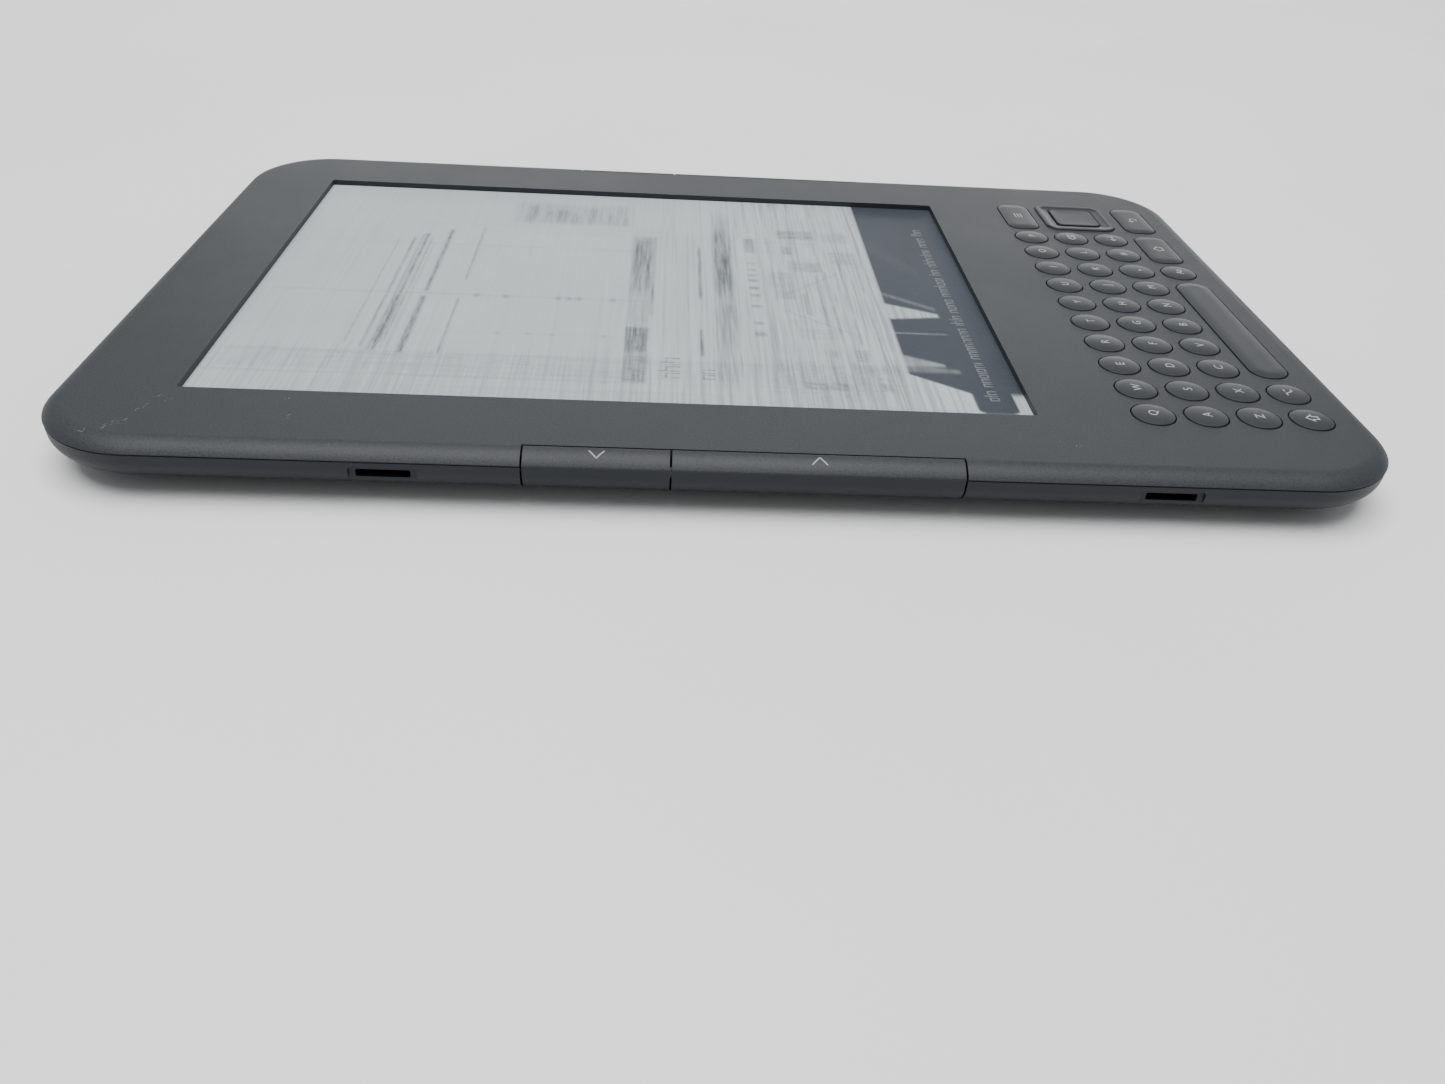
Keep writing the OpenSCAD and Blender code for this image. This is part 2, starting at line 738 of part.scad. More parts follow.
module five_way_select() {
    low = 6.85;
    color(graphite) union() {
        translate([0, 0, low]) pad_block(select_w, select_w, face_z - low, 1);
        translate([0, 0, face_z - eps]) pad_block(select_w - 0.8, select_w - 0.8, 0.25, 0.7);
        translate([0, 0, low]) pad_block(select_w + 1.2, select_w + 1.2, 0.2, 1.2);
        translate([0, 0, 6.2]) cylinder(h = 1, r = 1.4);
    }
}

module volume_rocker() {
    out_y = -case_l / 2 + 0.2;
    half = volume_w / 2;
    color(graphite) translate([volume_x, 0, port_z]) union() {
        box([-half, out_y, -0.9], [half, -92.6, 0.9]);
        box([-half - control_lap, control_in, -1.3], [half + control_lap, control_in + 0.7, 1.3]);
        translate([0, control_in + 0.7, -1.3]) cylinder(h = 2.6, r = 0.7);
    }
}

module power_slider() {
    rest_x = power_x - power_travel / 2;
    out_y = -case_l / 2 + 0.2;
    half = power_w / 2;
    color(graphite) translate([rest_x, 0, port_z]) union() {
        box([-half, out_y, -0.8], [half, -92.6, 0.8]);
        for (x = [-1, 0, 1]) box([x - 0.2, out_y - 0.15, -0.8], [x + 0.2, out_y + eps, 0.8]);
        box([-half - power_lap, control_in, -1.3], [half + power_lap, control_in + 0.8, 1.3]);
    }
}

// ------------------------------------------------------------------------------------------
front_bezel();
rear_cover();
mid_frame();
display_panel();
battery();
main_board();
shield_cans();
wireless_module();
keypad_board();
speakers();
page_switches();
headphone_jack();
usb_port();
frame_screws();
mirror([1, 0, 0]) page_prev();  // page_prev_left
page_prev();  // page_prev_right
mirror([1, 0, 0]) page_next();  // page_next_left
page_next();  // page_next_right
translate([pad_x, pad_y, 0]) five_way_web();
translate([pad_x, pad_y, 0]) five_way_ring();
translate([pad_x, pad_y, 0]) five_way_select();
volume_rocker();
power_slider();
for (row = [0:len(KEY_ROWS) - 1])
    for (column = [0:len(KEY_ROWS[row]) - 1])
        translate(key_at(column, row)) round_key();
translate(key_at(TEXT_COLUMN, 3)) round_key();  // key_text_size
for (key = WIDE_KEYS)
    translate(wide_at(key)) wide_key(key);
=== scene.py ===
import json
import math
import random

import bmesh
import bpy
import numpy as np
from mathutils import Matrix, Vector


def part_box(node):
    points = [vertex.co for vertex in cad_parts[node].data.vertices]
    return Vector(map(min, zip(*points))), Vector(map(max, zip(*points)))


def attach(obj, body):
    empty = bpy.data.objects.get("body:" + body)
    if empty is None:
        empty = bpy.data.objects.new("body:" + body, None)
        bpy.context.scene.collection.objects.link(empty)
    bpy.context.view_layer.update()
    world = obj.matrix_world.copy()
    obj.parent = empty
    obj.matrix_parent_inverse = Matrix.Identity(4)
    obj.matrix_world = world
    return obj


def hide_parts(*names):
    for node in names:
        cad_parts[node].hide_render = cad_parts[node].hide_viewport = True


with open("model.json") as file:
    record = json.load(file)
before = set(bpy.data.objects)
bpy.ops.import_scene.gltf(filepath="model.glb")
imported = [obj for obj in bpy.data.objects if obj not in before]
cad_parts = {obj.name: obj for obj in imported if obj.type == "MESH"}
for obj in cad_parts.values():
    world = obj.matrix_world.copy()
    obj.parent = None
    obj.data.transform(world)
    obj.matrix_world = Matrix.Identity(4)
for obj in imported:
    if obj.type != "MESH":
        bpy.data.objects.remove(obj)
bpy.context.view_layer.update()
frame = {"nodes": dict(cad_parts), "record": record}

# Meshes are built in millimetres and scaled to metres as they are finished.
MM = 0.001

# Sizes of the case, in millimetres. The box comes from the frame. The band is the sloping
# strip round the face down to the ridge, and the roll is the curved underside.
bezel_low, bezel_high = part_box("front_bezel")
HALF_W = bezel_high.x / MM
HALF_L = bezel_high.y / MM
FACE_Z = bezel_high.z / MM
SPLIT_Z = bezel_low.z / MM
CORNER_R = 15.0
CORE_X = HALF_W - CORNER_R
CORE_Y = HALF_L - CORNER_R
BAND_W = 3.1
BAND_DROP = 1.44
BAND_START = CORNER_R - BAND_W
BAND_ANGLE = 2 * math.atan(BAND_DROP / BAND_W)
BAND_R = BAND_W / math.sin(BAND_ANGLE)
RIDGE_Z = FACE_Z - BAND_DROP
SIDE_IN = 0.1
ROLL_H = 5.6
ROLL_W = 14.0
ROLL_START = CORNER_R - SIDE_IN - ROLL_W
SPLIT_ANGLE = math.asin(1 - SPLIT_Z / ROLL_H)
WALL = 1.5
UNDER_Z = FACE_Z - 1.2
FLOOR_T = 1.1
CORNER_STEPS = 20

# The screen opening
SCREEN_X = 45.3
SCREEN_LOW = -44.2
SCREEN_HIGH = 78.2
PANEL_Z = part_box("display_panel")[1].z / MM
WINDOW_FLOOR = FACE_Z - 1.0

# Keys
KEY_R = 3.15
KEY_GAP = 0.22
KEY_RIM = 0.12
KEY_CROWN = 0.35
WIDE_RIM = 0.12
WIDE_CROWN = 0.32
WIDE_R = 2.2
FLANGE_TOP = UNDER_Z - 0.08
FLANGE_LOW = FLANGE_TOP - 0.42
FLANGE_OUT = 0.45
LETTER_HEIGHT = 1.45

KEY_STEPS = 10

# Page buttons
PAGE_GAP = 0.24
PAGE_EDGE = HALF_W - BAND_W
PAGE_SKIN = 1.3
PAGE_PIVOT_X = 57.0

# Heights and places of what opens through the side walls
PORT_Z = 4.9
JACK_Z = 4.3
SLOT_Z = 5.0
SLOT_YS = (46.9, -59.5)
MICROPHONE_X = -5.5
CHARGE_LIGHT_X = 38.0
SLIDER_TRAVEL = 3.0

# How far a cutter runs past the surface that it cuts
PAST = 1.0
# How far a flat mark reaches each way from z 0 before it is placed
MARK_HALF = 0.5


def node_mm(name):
    """Lowest and highest corner of a CAD node, in millimetres."""
    low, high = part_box(name)
    return low / MM, high / MM


def middle_mm(name):
    low, high = node_mm(name)
    return (low + high) / 2


# Mesh building

def add_object(name, data):
    obj = bpy.data.objects.new(name, data)
    bpy.context.scene.collection.objects.link(obj)
    return obj


def ring(core_x, core_y, radius, z, centre=(0, 0), steps=CORNER_STEPS):
    """Rounded rectangle of points: corner centres at +-core, corner radius, height z."""
    points = []
    for corner, (sx, sy) in enumerate(((1, 1), (-1, 1), (-1, -1), (1, -1))):
        for k in range(steps + 1):
            a = math.pi / 2 * (corner + k / steps)
            points.append((
                centre[0] + sx * core_x + radius * math.cos(a),
                centre[1] + sy * core_y + radius * math.sin(a),
                z,
            ))
    return points


def block_ring(half_x, half_y, radius, z, inset=0.0, centre=(0, 0), steps=8):
    """Rounded rectangle by its half sizes, pulled in by inset on every side."""
    r = max(radius - inset, 0.15)
    return ring(half_x - inset - r, half_y - inset - r, r, z, centre, steps)


def circle_ring(radius, z, centre=(0, 0), steps=8):
    return ring(0, 0, radius, z, centre, steps)


def loft(bm, rings, loop=False):
    """Skin through rings of equal count, closed by caps or into a loop."""
    made = [[bm.verts.new(p) for p in r] for r in rings]
    count = len(made[0])
    pairs = list(zip(made, made[1:]))
    if loop:
        pairs.append((made[-1], made[0]))
    for a, b in pairs:
        for i in range(count):
            j = (i + 1) % count
            bm.faces.new((a[i], a[j], b[j], b[i]))
    if not loop:
        bm.faces.new(reversed(made[0]))
        bm.faces.new(made[-1])


def prism(bm, outline, low, high, axis="z"):
    """Outline of 2-D points pushed from low to high along an axis.

    The outline holds (x, y) for z, (x, z) for y and (y, z) for x.
    """
    place = {
        "z": lambda p, d: (p[0], p[1], d),
        "y": lambda p, d: (p[0], d, p[1]),
        "x": lambda p, d: (d, p[0], p[1]),
    }[axis]
    loft(bm, [[place(p, low) for p in outline], [place(p, high) for p in outline]])


def box_outline(low, high):
    return [(low[0], low[1]), (high[0], low[1]), (high[0], high[1]), (low[0], high[1])]


def round_outline(half_a, half_b, radius, centre, steps=6):
    return [(p[0], p[1]) for p in block_ring(half_a, half_b, radius, 0, 0, centre, steps)]


def circle_outline(radius, centre, steps=40):
    return [
        (centre[0] + radius * math.cos(2 * math.pi * i / steps),
         centre[1] + radius * math.sin(2 * math.pi * i / steps))
        for i in range(steps)
    ]


def lathe(bm, profile, centre, steps=72):
    """Turns (radius, z) points round an upright axis. Both ends are on the axis."""
    low = bm.verts.new((centre[0], centre[1], profile[0][1]))
    high = bm.verts.new((centre[0], centre[1], profile[-1][1]))
    rows = [[bm.verts.new((x, y, z)) for x, y in circle_outline(r, centre, steps)]
            for r, z in profile[1:-1]]
    for a, b in zip(rows, rows[1:]):
        for i in range(steps):
            j = (i + 1) % steps
            bm.faces.new((a[i], a[j], b[j], b[i]))
    for i in range(steps):
        j = (i + 1) % steps
        bm.faces.new((low, rows[0][j], rows[0][i]))
        bm.faces.new((high, rows[-1][i], rows[-1][j]))


def mesh_object(name, bm):
    bmesh.ops.recalc_face_normals(bm, faces=bm.faces)
    mesh = bpy.data.meshes.new(name)
    bm.to_mesh(mesh)
    bm.free()
    return add_object(name, mesh)


def evaluated_mesh(obj):
    """A new mesh of an object as it shows, with its modifiers or curve settings applied."""
    bpy.context.view_layer.update()
    shape = obj.evaluated_get(bpy.context.evaluated_depsgraph_get())
    return bpy.data.meshes.new_from_object(shape)


def settle(obj):
    """Applies an object's modifiers to its mesh."""
    old, obj.data = obj.data, evaluated_mesh(obj)
    obj.modifiers.clear()
    bpy.data.meshes.remove(old)


def carve(obj, *cutters):
    """Cuts each bmesh of solids out of an object, one after the other."""
    for bm in cutters:
        tool = mesh_object("cutter", bm)
        cut = obj.modifiers.new("cut", "BOOLEAN")
        cut.operation = "DIFFERENCE"
        cut.solver = "EXACT"
        cut.object = tool
        settle(obj)
        bpy.data.objects.remove(tool)


def complete(obj, body, slot, stands_for=(), bevel=0.0, look=None):
    """Scales a piece to metres, rounds its edges, parents it to its body and hides the nodes it
    stands for.

    Its material is the one of its slot, unless look names another.
    """
    obj.data.transform(Matrix.Scale(MM, 4))
    if bevel:
        edge = obj.modifiers.new("edge", "BEVEL")
        edge.width = bevel * MM
        edge.segments = 2
        edge.limit_method = "ANGLE"
        edge.angle_limit = math.radians(30.0)
        settle(obj)
    for polygon in obj.data.polygons:
        polygon.use_smooth = True
    obj.data.materials.clear()
    obj.data.materials.append(MATERIALS[look or slot])
    normals = obj.modifiers.new("normals", "WEIGHTED_NORMAL")
    normals.mode = "FACE_AREA"
    normals.keep_sharp = True
    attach(obj, body)
    if stands_for:
        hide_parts(*stands_for)


# Materials

class Shade:
    """A material's node tree, with short ways to add and join nodes."""

    def __init__(self, name):
        self.material = bpy.data.materials.new(name)
        self.material.use_nodes = True
        self.tree = self.material.node_tree
        self.shader = self.tree.nodes["Principled BSDF"]
        self.place = self.node("ShaderNodeTexCoord").outputs["Object"]

    def node(self, kind, inputs=None, **values):
        """A new node with the given properties, and inputs by their name or index."""
        made = self.tree.nodes.new(kind)
        for key, value in values.items():
            setattr(made, key, value)
        for key, value in (inputs or {}).items():
            self.feed(made.inputs[key], value)
        return made

    def feed(self, socket, value):
        """Sets a socket to a number or colour, or joins another node's output to it."""
        if isinstance(value, tuple):
            socket.default_value = (*value, 1.0)
        elif isinstance(value, (int, float)):
            socket.default_value = value
        else:
            self.tree.links.new(value, socket)

    def axis(self, name):
        """One coordinate of the place on the object, in metres."""
        return self.node("ShaderNodeSeparateXYZ", {"Vector": self.place}).outputs[name]

    def stretch(self, scale):
        """The place on the object, in units of 1 / scale metres along each axis."""
        made = self.node("ShaderNodeMapping", {"Vector": self.place})
        made.inputs["Scale"].default_value = scale
        return made.outputs["Vector"]

    def noise(self, scale, detail=2.0, rough=0.5, where=None):
        return self.node("ShaderNodeTexNoise", {
            "Scale": scale, "Detail": detail, "Roughness": rough, "Vector": where or self.place,
        }).outputs["Fac"]

    def remap(self, value, low, high, to_low=0.0, to_high=1.0):
        return self.node("ShaderNodeMapRange", {
            "From Min": low, "From Max": high, "To Min": to_low, "To Max": to_high, "Value": value,
        }, clamp=True, interpolation_type="SMOOTHSTEP").outputs["Result"]

    def math(self, operation, a, b):
        return self.node("ShaderNodeMath", {0: a, 1: b}, operation=operation).outputs["Value"]

    def mix(self, factor, a, b):
        """Colour a where the factor is 0 and colour b where it is 1."""
        return self.node("ShaderNodeMix", {"Factor": factor, 6: a, 7: b},
                         data_type="RGBA").outputs[2]

    def bump(self, height, distance):
        return self.node("ShaderNodeBump", {"Distance": distance, "Height": height}
                         ).outputs["Normal"]

    def finish(self, colour, roughness, normal=None, **constants):
        values = {"Base Color": colour, "Roughness": roughness, "Normal": normal, **constants}
        for name, value in values.items():
            if value is not None:
                self.feed(self.shader.inputs[name.replace("_", " ")], value)
        return self.material


def scaled(colour, factor):
    return tuple(c * factor for c in colour)


def moulded_plastic(name, colour, rough=0.5, grain=0.000012, grain_scale=4200.0,
                    speckle=0.16, wear=0.0, side=None):
    """Graphite paint on moulded plastic: fine grain, faint mottling and sparse paler specks.

    Wear makes edges paler, on meshes without large flat faces. Side is a painted shade: a darker
    colour mixed in below the ridge round the case, standing for the shade on the side walls.
    """
    s = Shade(name)
    mottle = s.remap(s.noise(45.0, 3.0, 0.6), 0.3, 0.7)
    base = s.mix(mottle, scaled(colour, 0.97), scaled(colour, 1.03))
    fine = s.noise(grain_scale, 2.0, 0.6)
    base = s.mix(s.remap(fine, 0.3, 0.72), base, scaled(colour, 1.0 + speckle * 2))
    base = s.mix(s.remap(fine, 0.3, 0.5), scaled(colour, 1.0 - speckle), base)
    specks = s.math("MULTIPLY", s.remap(s.noise(1500.0, 2.0, 0.5), 0.7, 0.76),
                    s.remap(s.noise(60.0, 2.0), 0.42, 0.7))
    base = s.mix(s.math("MULTIPLY", specks, 0.5), base, scaled(colour, 3.5))
    if wear:
        edge = s.node("ShaderNodeNewGeometry").outputs["Pointiness"]
        worn = s.math("MULTIPLY", s.remap(edge, 0.52, 0.62),
                      s.remap(s.noise(260.0, 4.0), 0.35, 0.7))
        base = s.mix(s.math("MULTIPLY", worn, wear), base, scaled(colour, 1.9))
    # Painted shade: below the ridge the side walls are painted a darker colour, standing for the
    # shade they fall in
    if side:
        below = s.remap(s.axis("Z"), RIDGE_Z * MM, (RIDGE_Z - 0.25) * MM)
        base = s.mix(below, base, side)
    handled = s.remap(s.noise(28.0, 4.0, 0.65), 0.3, 0.7, rough - 0.02, rough + 0.03)
    normal = s.bump(fine, grain)
    return s.finish(base, handled, normal, Specular_IOR_Level=0.3)


def smooth_plastic(name, colour, rough):
    """Plain moulded plastic with a faint satin ripple."""
    s = Shade(name)
    tone = s.remap(s.noise(180.0, 3.0), 0.3, 0.7)
    base = s.mix(tone, scaled(colour, 0.88), scaled(colour, 1.1))
    fine = s.noise(5200.0, 2.0)
    return s.finish(base, s.remap(fine, 0.3, 0.7, rough - 0.05, rough + 0.05),
                    s.bump(fine, 0.000006))


def printed_ink(name, colour):
    """Printed legend: pale ink with slightly ragged cover."""
    s = Shade(name)
    cover = s.remap(s.noise(6000.0, 3.0), 0.35, 0.6)
    return s.finish(s.mix(cover, scaled(colour, 0.78), colour), 0.6,
                    s.bump(s.noise(9000.0), 0.000004))


def plated_metal(name, colour, rough):
    """Brushed sheet metal."""
    s = Shade(name)
    brushed = s.noise(1.0, 4.0, 0.6, s.stretch((300.0, 6000.0, 3000.0)))
    base = s.mix(brushed, scaled(colour, 0.82), colour)
    return s.finish(base, s.remap(brushed, 0.3, 0.7, rough - 0.07, rough + 0.09),
                    s.bump(brushed, 0.000008), Metallic=1.0)


def circuit_board(name):
    """Solder mask over copper tracks that run along the board."""
    s = Shade(name)
    tracks = s.node("ShaderNodeTexBrick", {
        "Scale": 420.0, "Mortar Size": 0.11, "Brick Width": 1.9, "Row Height": 0.42,
        "Color1": (0.01, 0.075, 0.04), "Color2": (0.012, 0.095, 0.05),
        "Mortar": (0.03, 0.19, 0.09), "Vector": s.place,
    }, offset=0.37)
    return s.finish(tracks.outputs["Color"], 0.38, s.bump(tracks.outputs["Fac"], 0.00002))


def battery_wrap(name):
    """Black film round a pouch cell, with soft creases."""
    s = Shade(name)
    crease = s.noise(90.0, 5.0, 0.7)
    base = s.mix(crease, (0.02, 0.021, 0.024), (0.045, 0.047, 0.052))
    return s.finish(base, s.remap(crease, 0.3, 0.7, 0.28, 0.45), s.bump(crease, 0.00012))


# Colours, as linear values
GRAPHITE = (0.0187, 0.0214, 0.0235)
# Painted shade for the side walls below the ridge, mixed over the graphite there
SIDE_PAINTED_SHADE = (0.0098, 0.0125, 0.0152)
KEY_GREY = (0.0185, 0.0212, 0.0232)
SELECT_GREY = (0.0185, 0.0212, 0.0245)
REAR_GREY = (0.016, 0.018, 0.0195)
LEGEND_GREY = (0.33, 0.335, 0.325)
PAPER = (0.335, 0.368, 0.378)
INK_DARK = (0.052, 0.062, 0.066)
INK_MID = (0.17, 0.187, 0.195)
SLATE = (0.0285, 0.0345, 0.0445)
BANNER_GREY = (0.11, 0.122, 0.13)
SCUFF_GREY = (0.15, 0.16, 0.16)


def paper_tone(s):
    """E-paper ground: pale grey, with ghosted streaks that grow stronger towards its foot."""
    streak = s.noise(1.0, 3.0, 0.7, s.stretch((22.0, 1500.0, 22.0)))
    column = s.noise(1.0, 3.0, 0.6, s.stretch((900.0, 12.0, 12.0)))
    low = s.remap(s.axis("Y"), 0.03, -0.02, 0.35, 1.0)
    left = s.remap(s.axis("X"), -0.024, -0.034, 0.0, 0.38)
    strength = s.math("ADD", low, left)
    lean = s.math("MULTIPLY", s.math("SUBTRACT", s.remap(streak, 0.3, 0.7), 0.5), strength)
    broad = s.remap(s.noise(30.0, 3.0, 0.6), 0.3, 0.7)
    base = s.mix(broad, scaled(PAPER, 0.96), scaled(PAPER, 1.04))
    base = s.mix(s.remap(lean, 0.0, 0.5, 0.0, 0.6), base, scaled(PAPER, 0.62))
    base = s.mix(s.remap(lean, -0.5, 0.0, 0.6, 0.0), base, scaled(PAPER, 1.22))
    tint = s.math("MULTIPLY", s.remap(column, 0.5, 0.75), left)
    return s.mix(tint, base, scaled(PAPER, 0.8))


def e_paper(name):
    """E-paper without a page on it, for the panel itself."""
    s = Shade(name)
    grain = s.noise(9000.0, 2.0)
    return s.finish(paper_tone(s), s.remap(grain, 0.3, 0.7, 0.45, 0.58),
                    s.bump(grain, 0.000003), Specular_IOR_Level=0.35)


def e_picture(name):
    """E-paper with the page on it, from the ink and slate cover that the sheet's points hold."""
    s = Shade(name)
    ink = s.node("ShaderNodeAttribute", attribute_name="ink").outputs["Fac"]
    slate = s.node("ShaderNodeAttribute", attribute_name="slate").outputs["Fac"]
    grain = s.noise(9000.0, 2.0)
    streak = s.noise(1.0, 3.0, 0.6, s.stretch((140.0, 2400.0, 140.0)))
    ground = s.mix(s.remap(s.noise(1.0, 3.0, 0.6, s.stretch((40.0, 90.0, 40.0))), 0.3, 0.7),
                   scaled(SLATE, 0.93), scaled(SLATE, 1.07))
    cover = s.math("MULTIPLY", ink, s.remap(streak, 0.3, 0.6, 0.6, 1.0))
    base = s.mix(cover, paper_tone(s), INK_DARK)
    base = s.mix(slate, base, ground)
    return s.finish(base, s.remap(grain, 0.3, 0.7, 0.5, 0.62), s.bump(grain, 0.000003),
                    Specular_IOR_Level=0.2)


def faded_ink(name, colour, ground, cover=0.5):
    """Marks whose ink is worn thin in places, down to the ground below."""
    s = Shade(name)
    worn = s.remap(s.noise(900.0, 3.0, 0.6), 0.5 - cover / 2, 0.8 - cover / 2)
    return s.finish(s.mix(worn, ground, colour), 0.55, s.bump(s.noise(9000.0), 0.000003),
                    Specular_IOR_Level=0.35)


# Depth and scale of the grain and strength of its speckle, and for keys their wear
CASE_FINISH = (0.000025, 4000.0, 0.2)
KEY_FINISH = (0.000006, 8000.0, 0.08, 0.35)

MATERIALS = {
    # The case and the page buttons both get painted shade on their side walls below the ridge
    "bezel": moulded_plastic("graphite_bezel", GRAPHITE, 0.5, *CASE_FINISH, side=SIDE_PAINTED_SHADE),
    "page_button": moulded_plastic("graphite_page_button", GRAPHITE, 0.5, *CASE_FINISH,
                                   side=SIDE_PAINTED_SHADE),
    "key_cap": moulded_plastic("graphite_key", KEY_GREY, 0.44, *KEY_FINISH),
    "pad_ring": moulded_plastic("graphite_pad_ring", KEY_GREY, 0.42, *KEY_FINISH),
    "pad_select": moulded_plastic("graphite_select", SELECT_GREY, 0.46, *KEY_FINISH),
    "edge_control": moulded_plastic("graphite_edge_control", KEY_GREY, 0.42, 0.000006),
    "rear_shell": moulded_plastic("graphite_rear", REAR_GREY, 0.6, 0.00002, 3000.0, 0.12),
    "legend": printed_ink("legend_ink", LEGEND_GREY),
    "screen": e_paper("e_paper"),
    "picture": e_picture("e_paper_picture"),
    "faded_marks": faded_ink("faded_marks", INK_MID, PAPER, 0.45),
    "banner_marks": faded_ink("banner_marks", BANNER_GREY, SLATE, 0.6),
    "scuff": faded_ink("scuff", SCUFF_GREY, GRAPHITE, 0.5),
    "frame_metal": plated_metal("magnesium_frame", (0.52, 0.53, 0.54), 0.42),
    "battery_wrap": battery_wrap("battery_film"),
    "circuit_board": circuit_board("solder_mask"),
    "shield_metal": plated_metal("tinned_shield", (0.66, 0.66, 0.65), 0.3),
    "black_plastic": smooth_plastic("black_moulding", (0.022, 0.023, 0.025), 0.42),
    "port_metal": plated_metal("plated_port", (0.36, 0.36, 0.37), 0.3),
    "screw_steel": plated_metal("screw_steel", (0.45, 0.45, 0.46), 0.34),
}


def dress_cad_nodes():
    """Gives every CAD node that stays its procedural material."""
    for part in frame["record"]["subparts"]:
        slots = frame["nodes"][part["node"]].data.materials
        slots.clear()
        slots.append(MATERIALS[part["material_slot"]])


# Case shells

def band_arc(first=0.0, steps=12):
    """The sloping band in section: (distance out from the corner centres, height)."""
    angles = [first + (BAND_ANGLE - first) * i / steps for i in range(steps + 1)]
    return [(BAND_START + BAND_R * math.sin(a), FACE_Z - BAND_R * (1 - math.cos(a)))
            for a in angles]


def band_height(u):
    return FACE_Z - BAND_R + math.sqrt(BAND_R ** 2 - (u - BAND_START) ** 2)


def roll_arc(first, last, inset=0.0, steps=14):
    """The underside's roll in section, from one angle to another, in radians."""
    angles = [first + (last - first) * i / steps for i in range(steps + 1)]
    return [(ROLL_START + ROLL_W * math.cos(a) - inset, ROLL_H * (1 - math.sin(a)))
            for a in angles]


def ridge_groove():
    """A fine groove in the side wall just below the ridge: the same pairs as band_arc."""
    wall = CORNER_R - SIDE_IN
    return [(CORNER_R - 0.02, RIDGE_Z - 0.08), (wall - 0.1, RIDGE_Z - 0.14),
            (wall - 0.1, RIDGE_Z - 0.26), (wall + 0.05, RIDGE_Z - 0.36)]


def case_rings(section):
    return [ring(CORE_X, CORE_Y, u, z) for u, z in section]


def key_hole_cutters():
    bm = bmesh.new()
    low, high = UNDER_Z - PAST, FACE_Z + PAST
    for node in ROUND_KEYS:
        prism(bm, circle_outline(KEY_R + KEY_GAP, middle_mm(node), 64), low, high)
    for node in WIDE_KEYS:
        half_x, half_y, radius = (size + KEY_GAP for size in wide_half(node))
        prism(bm, round_outline(half_x, half_y, radius, middle_mm(node), KEY_STEPS), low, high)
    half = RING_HALF + KEY_GAP
    prism(bm, round_outline(half, half, RING_R + KEY_GAP, PAD_AT, KEY_STEPS), low, high)
    return bm


def page_bay_cutters():
    """Bays for the page buttons, with a shelf under the face for their webs."""
    bm = bmesh.new()
    inner, edge, out, shelf_z = 56.0, PAGE_EDGE - PAGE_GAP / 2, HALF_W + 2 * PAST, 6.65
    section = [(inner, SPLIT_Z - PAST), (out, SPLIT_Z - PAST), (out, FACE_Z + PAST),
               (edge, FACE_Z + PAST), (edge, shelf_z), (inner, shelf_z)]
    low = node_mm("page_next_left")[0].y - PAGE_GAP
    high = node_mm("page_prev_left")[1].y + PAGE_GAP
    for side in (1, -1):
        prism(bm, [(side * x, z) for x, z in section], low, high, "y")
    return bm


def slot_cutters(half_l, half_h, radius, depth):
    """The same opening at both cover slots, in the left wall."""
    bm = bmesh.new()
    for y in SLOT_YS:
        outline = round_outline(half_l, half_h, radius, (y, SLOT_Z))
        prism(bm, outline, -HALF_W - PAST, -HALF_W + depth, "x")
    return bm


def edge_cutters():
    """Cover slots in the left wall, and sockets, controls and holes in the bottom wall."""
    bm = slot_cutters(3.6, 0.55, 0.25, 3.2)
    volume, power, usb, jack = (
        middle_mm(node).x
        for node in ("volume_rocker", "power_slider", "usb_port", "headphone_jack"))
    for outline in (
        round_outline(7.25, 1.15, 0.5, (volume, PORT_Z)),
        round_outline(5.75, 1.05, 0.5, (power + SLIDER_TRAVEL / 2, PORT_Z)),
        round_outline(4.1, 1.6, 0.8, (usb, PORT_Z)),
        circle_outline(2.25, (jack, JACK_Z)),
        circle_outline(0.5, (MICROPHONE_X, PORT_Z), 24),
        circle_outline(0.6, (CHARGE_LIGHT_X, PORT_Z), 24),
    ):
        prism(bm, outline, -HALF_L - PAST, -HALF_L + 4, "y")
    return bm


def window_cutters():
    """The pocket for the panel and, in front of it, the opening for the screen."""
    pocket, window = bmesh.new(), bmesh.new()
    side, foot, head = 5.75, 11.45, 4.75
    prism(pocket, box_outline((-SCREEN_X - side, SCREEN_LOW - foot),
                              (SCREEN_X + side, SCREEN_HIGH + head)),
          UNDER_Z - PAST, WINDOW_FLOOR)
    centre = (0, (SCREEN_LOW + SCREEN_HIGH) / 2)
    half_y = (SCREEN_HIGH - SCREEN_LOW) / 2
    outline = round_outline(SCREEN_X, half_y, 0.35, centre, 4)
    prism(window, outline, UNDER_Z - 2 * PAST, FACE_Z + PAST)
    return pocket, window


def make_bezel():
    section = band_arc() + ridge_groove() + roll_arc(0, SPLIT_ANGLE)
    section += roll_arc(SPLIT_ANGLE, 0, WALL)
    section.append((CORNER_R - SIDE_IN - WALL + 0.1, UNDER_Z))
    bm = bmesh.new()
    loft(bm, case_rings(section))
    obj = mesh_object("front_bezel_shell", bm)
    surrounds = slot_cutters(4.5, 1.05, 0.5, 0.55)
    carve(obj, *window_cutters(), key_hole_cutters(), page_bay_cutters(), surrounds,
          edge_cutters())
    complete(obj, "case", "bezel", ["front_bezel"], 0.09)


